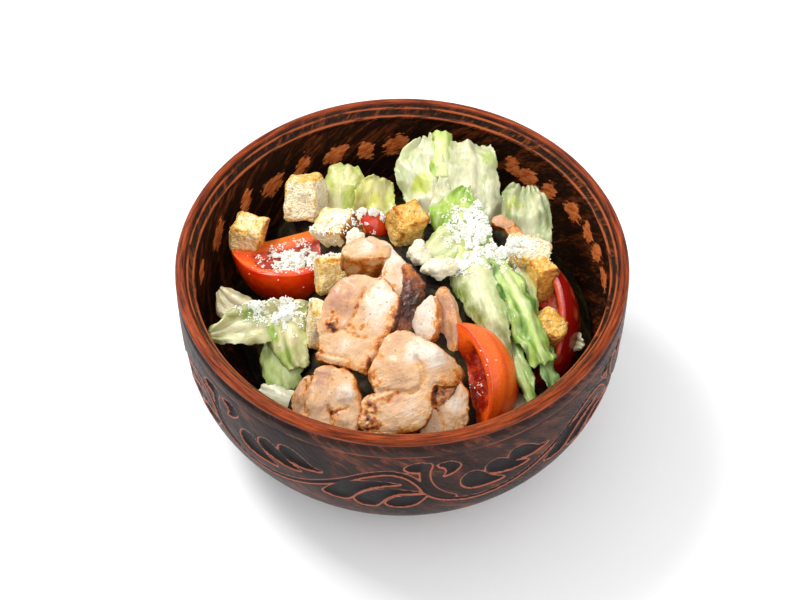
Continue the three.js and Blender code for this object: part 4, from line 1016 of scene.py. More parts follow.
        "at": (6, -21, 78.5), "normal": (0.35, -0.45, 0.82), "thickness": 6,
        "outline": [(-5.6, 17), (-3, 15.4), (-0.6, 12.8), (1.9, 9.6), (1.2, 6), (1.4, 3), (-0.6, 0),
                    (-0.7, -3.6), (-2.6, -6.4), (-3.7, -10), (-8.7, -10.6), (-10.6, -5.3), (-8.6, -0.5),
                    (-7, 4.4), (-5.8, 8.4)],
        "stains": [(-3, 1, 14, 0.95)],
        "grain": 80, "rim": 1.8, "crust": ((0.9, -0.3, 0), 0.3),
    }],
    "chicken_bit": [{
        "at": (43.5, 24, 76.5), "normal": (0.1, -0.3, 0.95), "thickness": 6,
        "outline": [(-5.4, 3.4), (-1, 3.2), (3.6, -1), (5.4, -4.6), (1.6, -5.2), (-3, -1.6), (-6, 0.6)],
        "stains": [(2, 0, 4, 0.35), (-4, 2, 2.4, 0.12)],
        "blushes_and_highlights": [(0, 0, 6, 1.0)],
        "grain": 130, "rim": 1.6, "crust": ((0, -1, 0), 0.35),
    }],
}


def slope_axes(normal):
    """The frame of a piece that lies on a slope: across, along and up, as rows."""
    up = unit(normal)
    across = unit(np.array([1.0, 0, 0]) - up * up[0])
    return np.array([across, np.cross(up, across), up])


def make_slab(slab):
    """A plain slab with the outline of the cut face, set at its place and slope."""
    edge = rounded(slab["outline"], closed=True)[:-1]
    spot = np.column_stack([edge, np.full(len(edge), slab["grain"])])
    edge = edge + np.column_stack([WANDERING_EDGE * grain_of(spot, 3.4, seed) for seed in (1, 2)])
    piece = start("slab", "circle", vertices=len(edge), radius=1, fill_type="NGON")
    set_points(piece, np.column_stack([edge, np.full(len(edge), slab["thickness"] / 2)]) * MM)
    downwards = -np.sign(piece.data.polygons[0].normal.z)
    modify(piece, "SOLIDIFY", thickness=slab["thickness"] * MM, offset=downwards)
    lowered = points_of(piece) / MM - [0, 0, slab.get("sink", 0)]
    set_points(piece, (lowered @ slope_axes(slab["normal"]) + slab["at"]) * MM)
    return piece


def nearness(spots, u, v, radius):
    return np.exp(-(((spots[:, 0] - u) ** 2 + (spots[:, 1] - v) ** 2) / radius**2))


def melt(name, slabs):
    """The slabs joined and melted into one closed piece."""
    parts = [make_slab(slab) for slab in slabs]
    for part in parts:
        part.select_set(True)
    if len(parts) > 1:
        bpy.ops.object.join()
    meat = bpy.context.active_object
    meat.name = name
    modify(meat, "REMESH", mode="VOXEL", voxel_size=MEAT_VOXEL * MM)
    modify(meat, "SMOOTH", factor=0.5, iterations=5)
    return meat


def meat_unevenness(points, seed):
    """The crags of the crust, how broken and how patchy the browning is, and how the seams wander."""
    crags = 1.3 * ridged(points, 4, seed + 11) + ridged(points, 2.6, seed + 2)
    crags = 0.6 * (crags + 0.6 * ridged(points, 1.3, seed + 3))
    broken = 0.6 + 1.3 * grain_of(points, 2.2, seed + 14) + 0.7 * grain_of(points, 1, seed + 15)
    patchy = 0.5 + 0.9 * grain_of(points, 4.5, seed + 12)
    return np.array([crags, np.clip(broken, 0, 1.4), patchy, 0.5 * grain_of(points, 2.2, seed + 13)])


def mark_slab(slab, spots, face, unevenness, rise, tint):
    """Adds a slab's domes, seams and stains to the relief and the browning of its points."""
    crags, broken, patchy, wander = unevenness
    for u, v, radius, swell in slab.get("domes", []):
        rise += 1.3 * swell * nearness(spots, u, v, radius) * face
    for cut, browning, path in slab.get("seams", []):
        away = distance_to(rounded(path, closed=False), spots[:, :2]) + wander
        rise -= 1.1 * cut * hump(away, 0, 0.8) * face
        tint += 1.8 * browning * broken * hump(away, 0, 0.6) * face
        tint += 0.6 * browning * patchy * hump(away, 0, 1.8) * face
    for u, v, radius, amount in slab.get("stains", []):
        near = nearness(spots, u, v, radius)
        tint += amount * near * (broken if radius < SMALL_STAIN else 1)
        rise += 3.2 * min(max(amount - 0.25, 0), 0.4) * near * (crags - 0.5)


def make_meat(name, slabs, seed):
    """One piece from its slabs, with fibres and seams in its faces and a crust on its sides."""
    meat = melt(name, slabs)
    points, normals = points_of(meat) / MM, normals_of(meat)
    nearest = np.full(len(points), 1e9)
    moved, fibre = np.zeros((2, len(points), 3))
    brown, pink_and_highlight = np.zeros((2, len(points)))
    unevenness = meat_unevenness(points, seed)
    swollen = 0.8 * grain_of(points, 7, seed) + 0.35 * ridged(points, 5, seed + 1) - 0.25
    for slab in slabs:
        # the points that lie nearer to this slab than to those before it
        axes = slope_axes(slab["normal"])
        local = (points - slab["at"]) @ axes.T
        height = local[:, 2] + slab.get("sink", 0)
        curve = rounded(slab["outline"], closed=True)
        depth = distance_to(curve, local[:, :2]) * np.where(is_inside(curve, local[:, :2]), 1, -1)
        apart = np.maximum(-depth, np.abs(height) - slab["thickness"] / 2)
        mine = apart < nearest
        nearest[mine] = apart[mine]
        spots, normal, inset = local[mine], normals[mine], depth[mine]
        crags, _, patchy, _ = unevenness[:, mine]
        # the cut face and its rounded rim, with the crust on the sides and over the rim
        face = smooth_step(0.35, 0.85, (normals @ axes[2])[mine])
        direction, strength = slab["crust"]
        turned = smooth_step(-0.1, 0.9, normal @ unit(direction))
        rim = slab["rim"]
        rise = -0.28 * rim * np.clip(1 - inset / rim, 0, 1) ** 2 * face
        rise += swollen[mine] * min(slab["thickness"] / 8, 1) ** 1.5
        outward = smooth_step(0, 1, (spots[:, :2] @ unit(direction[:2])) / 9)
        tint = (1 - face) * (0.26 * patchy + strength * turned)
        tint += 0.34 * outward * patchy * hump(inset, 0, 1.3 * rim) * face
        mark_slab(slab, spots, face, unevenness[:, mine], rise, tint)
        # pink where a blush is above 0 and white below it: pale flesh in part, painted highlight in part
        blush_and_highlight = 0.35 * grain_of(spots, 7, seed + 6)
        for u, v, radius, amount in slab.get("blushes_and_highlights", []):
            blush_and_highlight += amount * nearness(spots, u, v, radius)
        rise += (1 - face) * 0.35 * crags
        way, begins, steep = slab.get("droop", NO_DROOP)
        drop = steep * np.maximum(spots[:, :2] @ unit(way) - begins, 0) ** 2
        moved[mine] = normal * rise[:, None] - np.outer(drop, axes[2])
        brown[mine], pink_and_highlight[mine] = tint, blush_and_highlight
        turn = math.radians(slab["grain"])
        cosine, sine = math.cos(turn), math.sin(turn)
        fibre[mine] = spots @ np.array([[cosine, -sine, 0], [sine, cosine, 0], [0, 0, 1]])
        strands = 0.07 * grain_of(fibre[mine] * [0.22, 1, 0.5], 1.5, seed) * face
        moved[mine] += normal * strands[:, None]
    points = points + moved
    set_points(meat, keep_in_bowl(points) * MM)
    stamp(meat, "browned", np.clip(brown + 0.1 * grain_of(points, 3.4, seed + 4), 0, 1))
    stamp(meat, "pink_and_highlight", np.clip(pink_and_highlight, -1, 1))
    stamp(meat, "fibre", fibre)
    return meat


def make_speck_group():
    """Flecks of spice: a mask of small dots, in a share of the cells of the given size."""
    group = bpy.data.node_groups.new("spice flecks", "ShaderNodeTree")
    for name, side, kind in (("Place", "INPUT", "Vector"), ("Size", "INPUT", "Float"),
                             ("Share", "INPUT", "Float"), ("Mask", "OUTPUT", "Float")):
        group.interface.new_socket(name, in_out=side, socket_type="NodeSocket" + kind)
    wire = Wiring(group)
    entry = group.nodes.new("NodeGroupInput")
    scale = wire.calc("DIVIDE", 1.0, entry.outputs["Size"])
    cells = wire.tree.nodes.new("ShaderNodeTexVoronoi")
    wire.feed(cells.inputs["Vector"], entry.outputs["Place"])
    wire.feed(cells.inputs["Scale"], scale)
    chance = wire.add("SeparateColor", {0: cells.outputs["Color"]})
    chosen = wire.calc("LESS_THAN", chance, entry.outputs["Share"])
    dot = wire.band(cells.outputs["Distance"], 0.3, 0.18)
    out = group.nodes.new("NodeGroupOutput")
    wire.feed(out.inputs["Mask"], wire.times(chosen, dot))
    return group


speck_group = make_speck_group()


def specks(wire, place, size, share):
    """The spice mask at its own size and share, with uneven dots."""
    uneven = wire.add("TexNoise", {"Vector": place, "Scale": 1.4, "Detail": 2.0}, "Color")
    shaken = wire.add("VectorMath", {0: place, 1: uneven}, operation="ADD")
    return wire.add("Group", {"Place": shaken, "Size": size, "Share": share}, node_tree=speck_group)


def make_meat_finish():
    meat, wire, link = finish("fried chicken", Roughness=0.42, Subsurface_Weight=0.12, Subsurface_Scale=0.002,
                              Coat_Weight=0.35, Coat_Roughness=0.14)
    place = wire.place()
    fibre = wire.read("fibre", "Vector")
    strands = wire.grain(wire.stretch(fibre, (0.22, 1, 0.5)), 0.7, 4.0, 0.65)
    bundles = wire.grain(wire.stretch(fibre, (0.3, 1, 0.6)), 3.2, 3.0, 0.55)
    mottle = wire.grain(place, 2.4, 4.0, 0.6)
    pink_and_highlight = wire.plus(wire.read("pink_and_highlight"), wire.swing(bundles, 0.9))
    # white where the pink sinks below 0: pale flesh in part, painted highlight in part
    flesh = wire.mix(wire.band(pink_and_highlight, -0.8, -0.05), "e9dccb", "d8ae84")
    flesh = wire.mix(wire.band(pink_and_highlight, 0.05, 1.0), flesh, wire.mix(bundles, "ab7454", "d29f7e"))
    flesh = wire.mix(wire.band(strands, 0.5, 0.72, 0.0, 0.45), flesh, "b98358")
    shift = wire.swing(mottle, 0.5)
    fine = wire.swing(wire.grain(place, 0.8, 3.0, 0.6), 0.6)
    browned = wire.read("browned")
    shift = wire.times(wire.plus(shift, fine), wire.band(browned, 0.02, 0.3, 0.4, 1.1))
    level = wire.plus(browned, shift)
    fried = [(0.08, "e9bc80"), (0.2, "d99448"), (0.38, "bd671f"), (0.62, "7c3710"), (0.9, "2e1207")]
    crust = wire.ramp(level, fried)
    # lighter orange-brown flecks on the dark crust: crisp bits in part, painted glints in part
    crisp_flecks_and_glints = wire.times(wire.band(wire.grain(place, 1.3, 3.0, 0.6), 0.54, 0.64), wire.band(level, 0.55, 0.75))
    crust = wire.mix(wire.times(crisp_flecks_and_glints, 0.75), crust, "a0582a")
    colour = wire.mix(wire.band(level, 0.05, 0.2), flesh, crust)
    colour = wire.mix(wire.times(specks(wire, place, 1.1, 0.08), 0.75), colour, "5d431c")
    golden = wire.band(wire.grain(place, 5, 4.0, 0.65), 0.5, 0.68, 0.0, 0.5)
    colour = wire.mix(wire.times(golden, wire.band(level, 0.25, 0.0)), colour, "eab070")
    link("Base Color", colour)
    link("Roughness", wire.band(level, 0.0, 0.6, 0.46, 0.28))
    height = wire.plus(wire.times(strands, 0.35), wire.times(mottle, 0.8))
    height = wire.plus(height, wire.times(wire.band(browned, 0.2, 0.7), fine))
    link("Normal", wire.bump(height, 0.85))
    return meat


meat_finish = make_meat_finish()
for number, (node_name, meat_slabs) in enumerate(CHICKEN.items(), start=1):
    settle(make_meat(f"fried_{node_name}", meat_slabs, number), meat_finish, "meat", node_name)

# ---------------------------------------------------------------------------------------------
# Croutons: cubes of white bread toasted in oil. The crumb is cream and full of pores, the edges
# are golden, some sides are browned crust, and dried herbs cling to them.
# ---------------------------------------------------------------------------------------------

# at, size and turn place a cube, toast is its overall browning, and browned names its darkest side.
CROUTONS = {
    "crouton_1": {"at": (-64, 26, 70), "size": (13.5, 13, 15), "turn": (-6, 6, -16), "toast": 0.14,
                  "browned": ((1, 0, 0), 0.35)},
    "crouton_2": {"at": (-40.5, 44, 73), "size": (15, 15, 19), "turn": (-34, -12, -16), "toast": -0.02,
                  "browned": ((0, 0.3, 1), 0.3)},
    "crouton_3": {"at": (-26, 21, 76.5), "size": (17, 14, 15), "turn": (6, -24, -28), "toast": 0.05,
                  "browned": ((1, 0, 0), 0.72)},
    "crouton_4": {"at": (2.2, 25, 78), "size": (14, 14, 15), "turn": (12, 8, 30), "toast": 0.3,
                  "browned": ((1, -0.4, 0), 0.4)},
    "crouton_5": {"at": (-29, -1.5, 76), "size": (12, 11, 15), "turn": (-42, 8, 12), "toast": 0.16,
                  "browned": ((0, -1, 0), 0.02)},
    "crouton_6": {"at": (-33.5, -25, 74), "size": (7.5, 12, 18), "turn": (-20, 14, 4), "toast": 0.08,
                  "browned": ((1, 0, 0), 0.6)},
    "crouton_7": {"at": (56.5, -2, 73.5), "size": (10, 12, 17), "turn": (-14, 10, 20), "toast": 0.3,
                  "browned": ((0.3, -1, 0), 0.2)},
    "crouton_8": {"at": (50.5, 9, 77), "size": (18, 13, 11), "turn": (6, 12, -14), "toast": 0.02,
                  "browned": ((0, -1, 0), 0.2)},
    "crouton_9": {"at": (58, -24, 71), "size": (13.5, 12, 10.5), "turn": (10, 20, -28), "toast": 0.28,
                  "browned": ((0, -1, -0.2), 0.4)},
}
CRUST_ROUNDING = 0.18
CROUTON_CUTS = 30
PORE_LEVEL = 0.05
SMALLEST_EDGE = 13


def cells_of(points, size):
    """How far each point lies from the middle of its cell, in cells of the given size."""
    return np.array([noise.voronoi(Vector(point))[0][0] for point in points / size])


def make_crouton(name, cube, index):
    piece = start(name, "cube", size=1)
    edit_all(piece, ("subdivide", {"number_cuts": CROUTON_CUTS}))
    box = points_of(piece)
    core = np.clip(box, CRUST_ROUNDING - 0.5, 0.5 - CRUST_ROUNDING)
    out = box - core
    out /= np.maximum(np.linalg.norm(out, axis=1), 1e-6)[:, None]
    soft_box = core + out * CRUST_ROUNDING
    lump = 1 + 0.045 * np.sin(soft_box @ [5, 7, 4] + 2.1 * (index - 1))
    size = np.array(cube["size"])
    shape = soft_box * size * lump[:, None]
    # torn by hand, so it narrows and leans its own way
    narrow = 1 + 0.22 * math.sin(2.7 * index) * soft_box[:, 2:]
    shape[:, :2] *= narrow + 0.12 * math.cos(1.9 * index) * soft_box[:, 1:2]
    shape[:, 0] += 0.09 * size[2] * math.sin(1.7 * index) * soft_box[:, 2]
    corner = np.sort(np.abs(box), axis=1)[:, 1]
    # the noise runs from -1 to 1, so that a little under half of the cells hold a pore
    porous = np.array([noise.cell(Vector(point)) for point in (shape + 40 * index) / 1.7]) > PORE_LEVEL
    holes = cells_of(shape + 40 * index, 1.9)
    pits = smooth_step(0.42, 0.12, holes) * porous * (1 - smooth_step(0.4, 0.5, corner) * 0.6)
    crumb = 0.5 * grain_of(shape, 3, index) + 0.35 * grain_of(shape, 1.1, index + 3)
    torn = 0.8 * grain_of(shape, 5.5, index + 8)
    rough = (crumb + torn - 1.1 * pits - 0.2)[:, None] * min(size.min() / SMALLEST_EDGE, 1)
    shape = shape + out * rough
    direction, strength = cube["browned"]
    side = smooth_step(0.55, 0.95, out @ unit(direction))
    edge = smooth_step(0.36, 0.47, corner)
    toast = cube["toast"] + strength * side + 0.22 * edge
    toast = toast + 0.28 * grain_of(shape, 4.5, index + 20) * (edge + 0.35)
    turn = np.array(Euler([math.radians(angle) for angle in cube["turn"]]).to_matrix())
    set_points(piece, keep_in_bowl(shape @ turn.T + cube["at"]) * MM)
    stamp(piece, "toast", np.clip(toast - 0.1 * pits, 0, 1))
    stamp(piece, "pits", pits)
    face_out(piece)
    return piece


def make_bread():
    bread, wire, link = finish("toasted bread", Roughness=0.8, Subsurface_Weight=0.08,
                               Subsurface_Scale=0.0015)
    place = wire.place()
    mottle = wire.minus(wire.grain(place, 2.0, 4.0, 0.65), 0.5)
    fine = wire.minus(wire.grain(place, 0.55, 3.0, 0.6), 0.5)
    toast = wire.read("toast")
    level = wire.plus(toast, wire.times(mottle, 0.7))
    level = wire.plus(level, wire.times(fine, 0.25))
    baked = [(0.0, "fef0cc"), (0.16, "fbda92"), (0.34, "f0b548"), (0.56, "c67a28"), (0.95, "5a260c")]
    colour = wire.ramp(level, baked)
    # darker gold inside the pores: painted shade
    colour = wire.mix(wire.times(wire.read("pits"), 0.3), colour, "dfb06a")
    colour = wire.mix(wire.times(specks(wire, place, 1.5, 0.1), 0.5), colour, "9a9058")
    colour = wire.mix(wire.times(specks(wire, place, 1.1, 0.04), 0.6), colour, "6a4520")
    link("Base Color", colour)
    pores = wire.add("TexVoronoi", {"Vector": place, "Scale": 1.1})
    height = wire.plus(wire.band(pores, 0.1, 0.5), wire.times(fine, 1.2))
    link("Normal", wire.bump(height, 0.5))
    return bread


bread_finish = make_bread()
croutons = {}
for number, (crouton_name, cube_sizes) in enumerate(CROUTONS.items(), start=1):
    crouton = make_crouton(f"toasted_{crouton_name}", cube_sizes, number)
    croutons[crouton_name] = settle(crouton, bread_finish, "bread", crouton_name)

# ---------------------------------------------------------------------------------------------
# Tomato: wedges cut from end to end. The skin is smooth and glossy, the wall under it orange red,
# and each cut face sinks into a chamber of dark jelly with pale seeds.
# ---------------------------------------------------------------------------------------------

# at is the middle of the inner edge, axis runs from end to end, and out points at the middle of the skin.
# dark_red is how far the skin and the cut wall turn to a darker red. bare is where the skin ends, in degrees
# from that middle, on a wedge whose wall was pared. solid is how far the flesh reaches from one end before
# the chamber begins, in degrees.
WEDGES = {
    "tomato_left": {"at": (-47, 30, 66), "axis": (0.95, 0.32, 0), "out": (0.3, -0.93, -0.375),
                    "half": 26, "radius": 31, "opening": 76},
    "tomato_front": {"at": (20.8, -44.4, 60.3), "axis": (0.28, -0.8, -0.25), "out": (0.75, 0.1, 0.53),
                     "half": 23, "radius": 25.4, "opening": 68, "bare": -24, "solid": 58},
    "tomato_right": {"at": (47.5, -14, 61), "axis": (0.05, -0.93, -0.3), "out": (0.98, 0.05, 0.25),
                     "half": 28, "radius": 24.5, "opening": 70, "dark_red": 1},
    "tomato_middle": {"at": (-13, 32, 70), "axis": (0.95, -0.1, 0.2), "out": (0.2, -0.75, 0.55),
                      "half": 9, "radius": 11, "opening": 90, "dark_red": 0.45},
}
WEDGE_ROUND = 120
WEDGE_LONG = 90
FACE_PART = 0.33
# Across a cut face, from the inner edge at 0 to the skin at 1: where the chamber begins and ends.
CHAMBER_BEGINS, CHAMBER_ENDS = (0.2, 0.36), (0.84, 0.7)
CHAMBER_DIP = 0.3
SOLID_FADE = 22
SOFT_CORNER = 0.09
INNER_EDGE = 0.06


def make_wedge(name, wedge, seed):
    piece = start(name, "grid", x_subdivisions=WEDGE_ROUND, y_subdivisions=WEDGE_LONG, size=2)
    flat = points_of(piece)
    turn, rise = (flat[:, 0] + 1) / 2, (flat[:, 1] + 1) / 2
    polar = math.pi * np.clip(rise, 0.004, 0.996)
    bulge = np.sin(polar)
    # once round the section: out along one face, over the skin, and back along the other face
    mirrored = np.minimum(turn, 1 - turn)
    sign = np.where(turn < 0.5, -1, 1)
    face = np.clip(mirrored / FACE_PART, 0, 1)
    over = np.clip((mirrored - FACE_PART) / (0.5 - FACE_PART), 0, 1)
    share = INNER_EDGE + (1 - INNER_EDGE) * face
    half_opening = math.radians(wedge["opening"] / 2)
    chamber = smooth_step(*CHAMBER_BEGINS, share) * smooth_step(*CHAMBER_ENDS, share)
    chamber *= smooth_step(0.55, 0.8, bulge)
    if "solid" in wedge:
        chamber *= smooth_step(wedge["solid"], wedge["solid"] + SOLID_FADE, np.degrees(polar))
    dip = CHAMBER_DIP * chamber * bulge**3 + 0.05 * smooth_step(0.0, 0.3, share) * bulge
    on_face = face < 1
    corner = SOFT_CORNER * np.where(on_face, smooth_step(0.86, 1, face), hump(over, 0, 0.3))
    angle = np.where(on_face, half_opening - dip, half_opening * (1 - over)) - 0.35 * corner
    angle = sign * angle
    reach = wedge["radius"] * bulge**0.8
    radial = reach * share * (1 - 0.45 * corner)
    local = np.column_stack([radial * np.cos(angle), radial * np.sin(angle), -wedge["half"] * np.cos(polar)])
    ends = np.array([0.2 * wedge["radius"], 0, 0])
    taper = smooth_step(0.1, 0.0, bulge)[:, None]
    local = local * (1 - taper) + (local * [0, 0, 1] + ends) * taper
    gel = 0.5 * grain_of(local, 3.4, seed) + 0.35 * ridged(local, 2, seed + 1)
    local[:, 1] += sign * gel * chamber * on_face * 0.8
    local += 0.25 * grain_of(local, 12, seed + 3)[:, None]
    along = unit(wedge["axis"])
    outward = np.array(wedge["out"], float)
    outward = unit(outward - along * (outward @ along))
    axes = np.array([outward, np.cross(along, outward), along])
    set_points(piece, keep_in_bowl(local @ axes + wedge["at"]) * MM)
    skin = np.where(on_face, smooth_step(0.955, 0.99, share), 1)
    if "bare" in wedge:
        turned = np.degrees(angle)
        skin = skin * (1 - smooth_step(-4, 4, turned - wedge["bare"]))
        share = np.where(on_face, share, 0.9 - 0.42 * np.abs(turned - 12) / 30)
    stamp(piece, "skin", skin)
    stamp(piece, "dark_red", np.full(len(flat), float(wedge.get("dark_red", 0))))
    stamp(piece, "chamber", np.where(on_face, chamber, 0))
    stamp(piece, "wall", share)
    close_up(piece)
    return piece


def make_tomato_finish():
    tomato, wire, link = finish("tomato", Roughness=0.2, Subsurface_Weight=0.35, Subsurface_Scale=0.004,
                                Coat_Weight=0.2, Coat_Roughness=0.08)
    place = wire.place()
    mottle = wire.grain(place, 6, 3.0, 0.5)
    fine = wire.grain(place, 0.8, 3.0, 0.6)
    skin = wire.mix(wire.band(mottle, 0.35, 0.7), "f0320c", "fc5210")
    skin = wire.mix(wire.read("dark_red"), skin, "8c0d07")
    pared = [(0.15, "ee7420"), (0.5, "d03c0a"), (0.88, "ff6c12"), (1.05, "d63a08")]
    wall = wire.ramp(wire.plus(wire.read("wall"), wire.times(fine, 0.12)), pared)
    wall = wire.mix(wire.times(wire.read("dark_red"), 0.6), wall, "8c1a08")
    jelly = wire.mix(wire.band(wire.grain(place, 3, 3.0, 0.6), 0.4, 0.65), "8c1004", "d04418")
    colour = wire.mix(wire.band(wire.read("chamber"), 0.3, 0.75), wall, jelly)
    colour = wire.mix(wire.read("skin"), colour, skin)
    link("Base Color", colour)
    cut = wire.minus(1.0, wire.read("skin"))
    link("Roughness", wire.band(wire.times(cut, fine), 0.2, 0.6, 0.16, 0.36))
    height = wire.times(cut, wire.plus(fine, wire.grain(place, 2.2, 3.0, 0.6)))
    link("Normal", wire.bump(height, 0.3))
    return tomato


tomato_finish = make_tomato_finish()
wedges = {}
for number, (wedge_name, wedge_sizes) in enumerate(WEDGES.items()):
    tomato_piece = make_wedge(f"{wedge_name}_wedge", wedge_sizes, number)
    wedges[wedge_name] = settle(tomato_piece, tomato_finish, "tomato", wedge_name)

# ---------------------------------------------------------------------------------------------
# Cheese lumps: soft white cheese, broken by hand into crumbly lumps that are dropped on the salad
# before the hard cheese is grated over it.
# ---------------------------------------------------------------------------------------------

CHUNK, CHIP = 3.4, 1.3
# The middle of each lump and its reach along x, y and z.
LUMPS = {
    "cheese_lump_1": ((6.6, 7.4, 79.2), (4.5, 6.4, 5.2)),
    "cheese_lump_2": ((15.4, -0.2, 79), (7.6, 4.8, 4.8)),
    "cheese_lump_3": ((-19, 12, 82), (4.5, 5.5, 4.5)),
}


def make_lump(name, at, radii, seed):
    piece = start(name, "ico_sphere", subdivisions=6, radius=1)
    ball = points_of(piece)
    shape = ball * radii
    chunks, chips = cells_of(shape + 30 * seed, CHUNK), cells_of(shape + 50 * seed, CHIP)
    relief = 1.8 * grain_of(shape, 5, seed) + 1.5 * (0.45 - chunks) + 0.45 * (0.45 - chips)
    set_points(piece, (shape + ball * (relief - 0.4)[:, None] + at) * MM)
    return piece


def make_cheese_finish():
    cheese, wire, link = finish("white cheese", Roughness=0.6, Subsurface_Weight=0.2, Subsurface_Scale=0.002)
    place = wire.place()
    mottle = wire.grain(place, 1.6, 4.0, 0.6)
    colour = wire.mix(wire.band(mottle, 0.42, 0.75), "f0ead0", "e4d4aa")
    link("Base Color", colour)
    link("Normal", wire.bump(wire.grain(place, 0.6, 3.0, 0.6), 0.3))
    return cheese


cheese_finish = make_cheese_finish()
for number, (lump_name, (at, radii)) in enumerate(LUMPS.items(), start=1):
    lump = make_lump(f"soft_{lump_name}", at, radii, number)
    settle(lump, cheese_finish, "cheese", lump_name)

# ---------------------------------------------------------------------------------------------
# Grated cheese: fine hard cheese grated over the top. Short shreds and grains lie in drifts on the
# leaves, the left and middle tomato and a crouton, with specks of pepper among them.
# ---------------------------------------------------------------------------------------------

# Where the cheese lies: middle, reach along x and y, how high it heaps, and how many shreds.
DRIFTS = [
    ((29.5, 19, 78), (10.5, 14), 2.2, 14000), ((40, 7, 78.5), (9, 7), 2, 5600),
    ((-45, -18, 70), (7.5, 8), 1.8, 6400), ((-42.5, 13.5, 73), (14, 8), 2.2, 8600),
    ((-26, 19.5, 84), (6.5, 5), 1.1, 1200), ((-14, 29, 80.5), (8, 5.5), 2, 4200),
    ((-58, -19, 70), (9, 6), 0.6, 900), ((25, 4, 78), (6, 7), 1.0, 2300), ((50, 9, 83), (9, 5), 0.5, 700),
    ((-32, 9, 77), (7, 6), 1.6, 2600), ((30, -50, 76), (6, 9), 0.2, 26),
]
SHRED = np.array([1.0, 0.37, 0.33])
CRUMB = 0.66
CRUMB_SHARE = 0.55
SPECK = np.array([0.55, 0.45, 0.4])
PEPPER_SHARE = 0.005
SPREAD, FARTHEST = 0.62, 1.7
FALL_FROM, FALL_REACH = 14, 26
CORNERS = np.array([(x, y, z) for x in (-1, 1) for y in (-1, 1) for z in (-1, 1)]) / 2
SIDES = [(0, 1, 3, 2), (4, 6, 7, 5), (0, 4, 5, 1), (2, 3, 7, 6), (0, 2, 6, 4), (1, 5, 7, 3)]
PEAKS = np.array([(1, 0, 0), (0, 1, 0), (-1, 0, 0), (0, -1, 0), (0, 0, 1), (0, 0, -1)]) / 2
FACETS = [(0, 1, 4), (1, 2, 4), (2, 3, 4), (3, 0, 4), (1, 0, 5), (2, 1, 5), (3, 2, 5), (0, 3, 5)]


def ground_under(pieces):
    """A tree of the surfaces that something may fall on."""
    corners, faces = [], []
    for piece in pieces:
        first = len(corners)
        corners.extend(Vector(point) for point in points_of(piece) / MM)
        faces.extend([first + corner for corner in face.vertices] for face in piece.data.polygons)
    return BVHTree.FromPolygons(corners, faces)


def scatter(name, bits, form, sides):
    """One mesh of many small bits of one form: each has a place, a size and a turn."""
    corners, faces = [], []
    for place, size, turn in bits:
        first = len(form) * len(corners)
        jitter = form * (1 - 0.5 * chance.random() * np.abs(form[:, :1]))
        corners.append((jitter * size) @ np.array(turn.to_matrix()).T + place)
        faces.extend(tuple(first + corner for corner in side) for side in sides)
    mesh = bpy.data.meshes.new(name)
    mesh.from_pydata((np.vstack(corners) * MM).tolist(), [], faces)
    piece = bpy.data.objects.new(name, mesh)
    bpy.context.collection.objects.link(piece)
    return piece


chance = random.Random(11)
ground = ground_under([*leaves, *croutons.values(), *wedges.values()])
shreds, crumbs, pepper = [], [], []
for (x, y, z), (reach_x, reach_y), pile, count in DRIFTS:
    for _ in range(count):
        away = min(abs(chance.gauss(0, SPREAD)), FARTHEST)
        angle = chance.uniform(0, 2 * math.pi)
        spot_x, spot_y = x + reach_x * away * math.cos(angle), y + reach_y * away * math.sin(angle)
        spot = Vector((spot_x, spot_y, z + FALL_FROM))
        hit = ground.ray_cast(spot, Vector((0, 0, -1)), FALL_REACH)[0]
        clump = noise.noise(spot / 3.2) + 0.5 * noise.noise(spot / 1.4)
        if hit is None or clump < 0.5 * away - 0.45:
            continue
        heap = pile * max(0, 1 + 1.2 * clump - away * away) * chance.random()
        turn = Euler((chance.gauss(0, 0.5), chance.gauss(0, 0.5), chance.uniform(0, 6.3)))
        place = np.array(hit) + np.array([0, 0, 0.15 + heap])
        if chance.random() < PEPPER_SHARE:
            pepper.append((place + [0, 0, 0.25], SPECK * chance.uniform(0.7, 1.3), turn))
        elif chance.random() < CRUMB_SHARE:
            spread = [chance.uniform(0.7, 1.5), chance.uniform(0.7, 1.3), chance.uniform(0.6, 1.2)]
            crumbs.append((place, CRUMB * np.array(spread), turn))
        else:
            grown = chance.uniform(0.5, 1.5)
            spread = [grown, chance.uniform(0.7, 1.3), chance.uniform(0.7, 1.3)]
            shreds.append((place, SHRED * spread, turn))

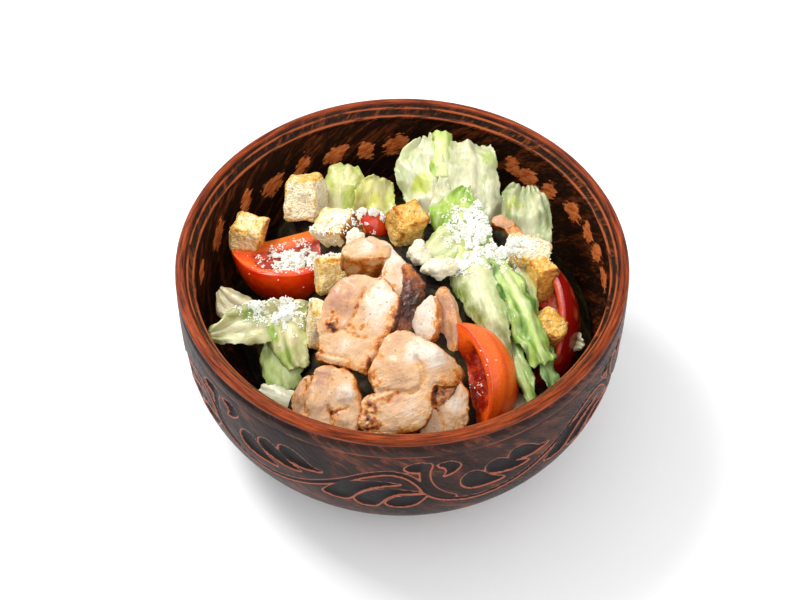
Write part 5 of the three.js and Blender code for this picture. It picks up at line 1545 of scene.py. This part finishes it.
GRATED_NODES = ("lettuce", "tomato_left", "crouton_3", "tomato_middle")
grated_finish, grated_wire, grated_link = finish("grated cheese", Roughness=0.6, Subsurface_Weight=0.2,
                                                 Subsurface_Scale=0.001)
grated_link("Base Color", grated_wire.mix(grated_wire.grain(grated_wire.place(), 3), "fffef8", "fcf7e6"))
grated = settle(scatter("grated_cheese", shreds, CORNERS, SIDES), grated_finish, "cheese", *GRATED_NODES)
crumbled = settle(scatter("cheese_crumbs", crumbs, PEAKS, FACETS), grated_finish, "cheese", *GRATED_NODES)
spice, spice_wire, spice_link = finish("pepper", Roughness=0.7)
spice_link("Base Color", spice_wire.mix(spice_wire.grain(spice_wire.place(), 0.6), "241c10", "5d5a34"))
peppered = settle(scatter("pepper_specks", pepper, CORNERS, SIDES), spice, "lettuce", *GRATED_NODES)
for scattered in (grated, crumbled, peppered):
    scattered.data.shade_flat()

# ---------------------------------------------------------------------------------------------
# Floor, light and camera: a plain white table, a soft key light from the upper left, a broad fill
# from the front right, and a high view.
# ---------------------------------------------------------------------------------------------

floor = start("floor", "plane", size=6)
floor_finish, floor_wire, floor_link = finish("white table", Roughness=0.7)
floor_link("Base Color", floor_wire.mix(floor_wire.grain(floor_wire.place(), 40), "f9f9fa", "fcfcfd"))
floor.data.materials.append(floor_finish)

world = bpy.data.worlds.new("studio")
world.use_nodes = True
sky = Wiring(world.node_tree)
rise = sky.add("SeparateXYZ", {0: sky.add("TexCoord", {}, "Generated")}, 2)
background = world.node_tree.nodes["Background"]
background.inputs["Color"].default_value = (1, 1, 1, 1)
sky.feed(background.inputs["Strength"], sky.band(rise, -0.1, 0.9, 0.6, 0.95))
bpy.context.scene.world = world


def add_light(name, place, target, size, power):
    bpy.ops.object.light_add(type="AREA", location=place)
    light = bpy.context.active_object
    light.name = name
    light.data.size = size
    light.data.energy = power
    light.rotation_euler = (Vector(target) - Vector(place)).to_track_quat("-Z", "Y").to_euler()


add_light("key_light", place=(-0.42, 0.3, 0.8), target=(0, 0, 0.06), size=0.34, power=6.4)
add_light("front_fill", place=(0.45, -0.8, 0.75), target=(0, 0, 0.05), size=1.1, power=4.4)

CAMERA_PLACE = Vector((-0.00088, -0.3902, 0.5401))
CAMERA_TARGET = Vector((-0.00088, 0, 0.0583))
CAMERA_LENS = 67.68
bpy.ops.object.camera_add(location=CAMERA_PLACE)
camera = bpy.context.active_object
camera.rotation_euler = (CAMERA_TARGET - CAMERA_PLACE).to_track_quat("-Z", "Y").to_euler()
camera.data.lens = CAMERA_LENS
camera.data.sensor_width = 36
bpy.context.scene.camera = camera
bpy.context.scene.view_settings.view_transform = "Standard"
bpy.context.scene.cycles.use_denoising = True
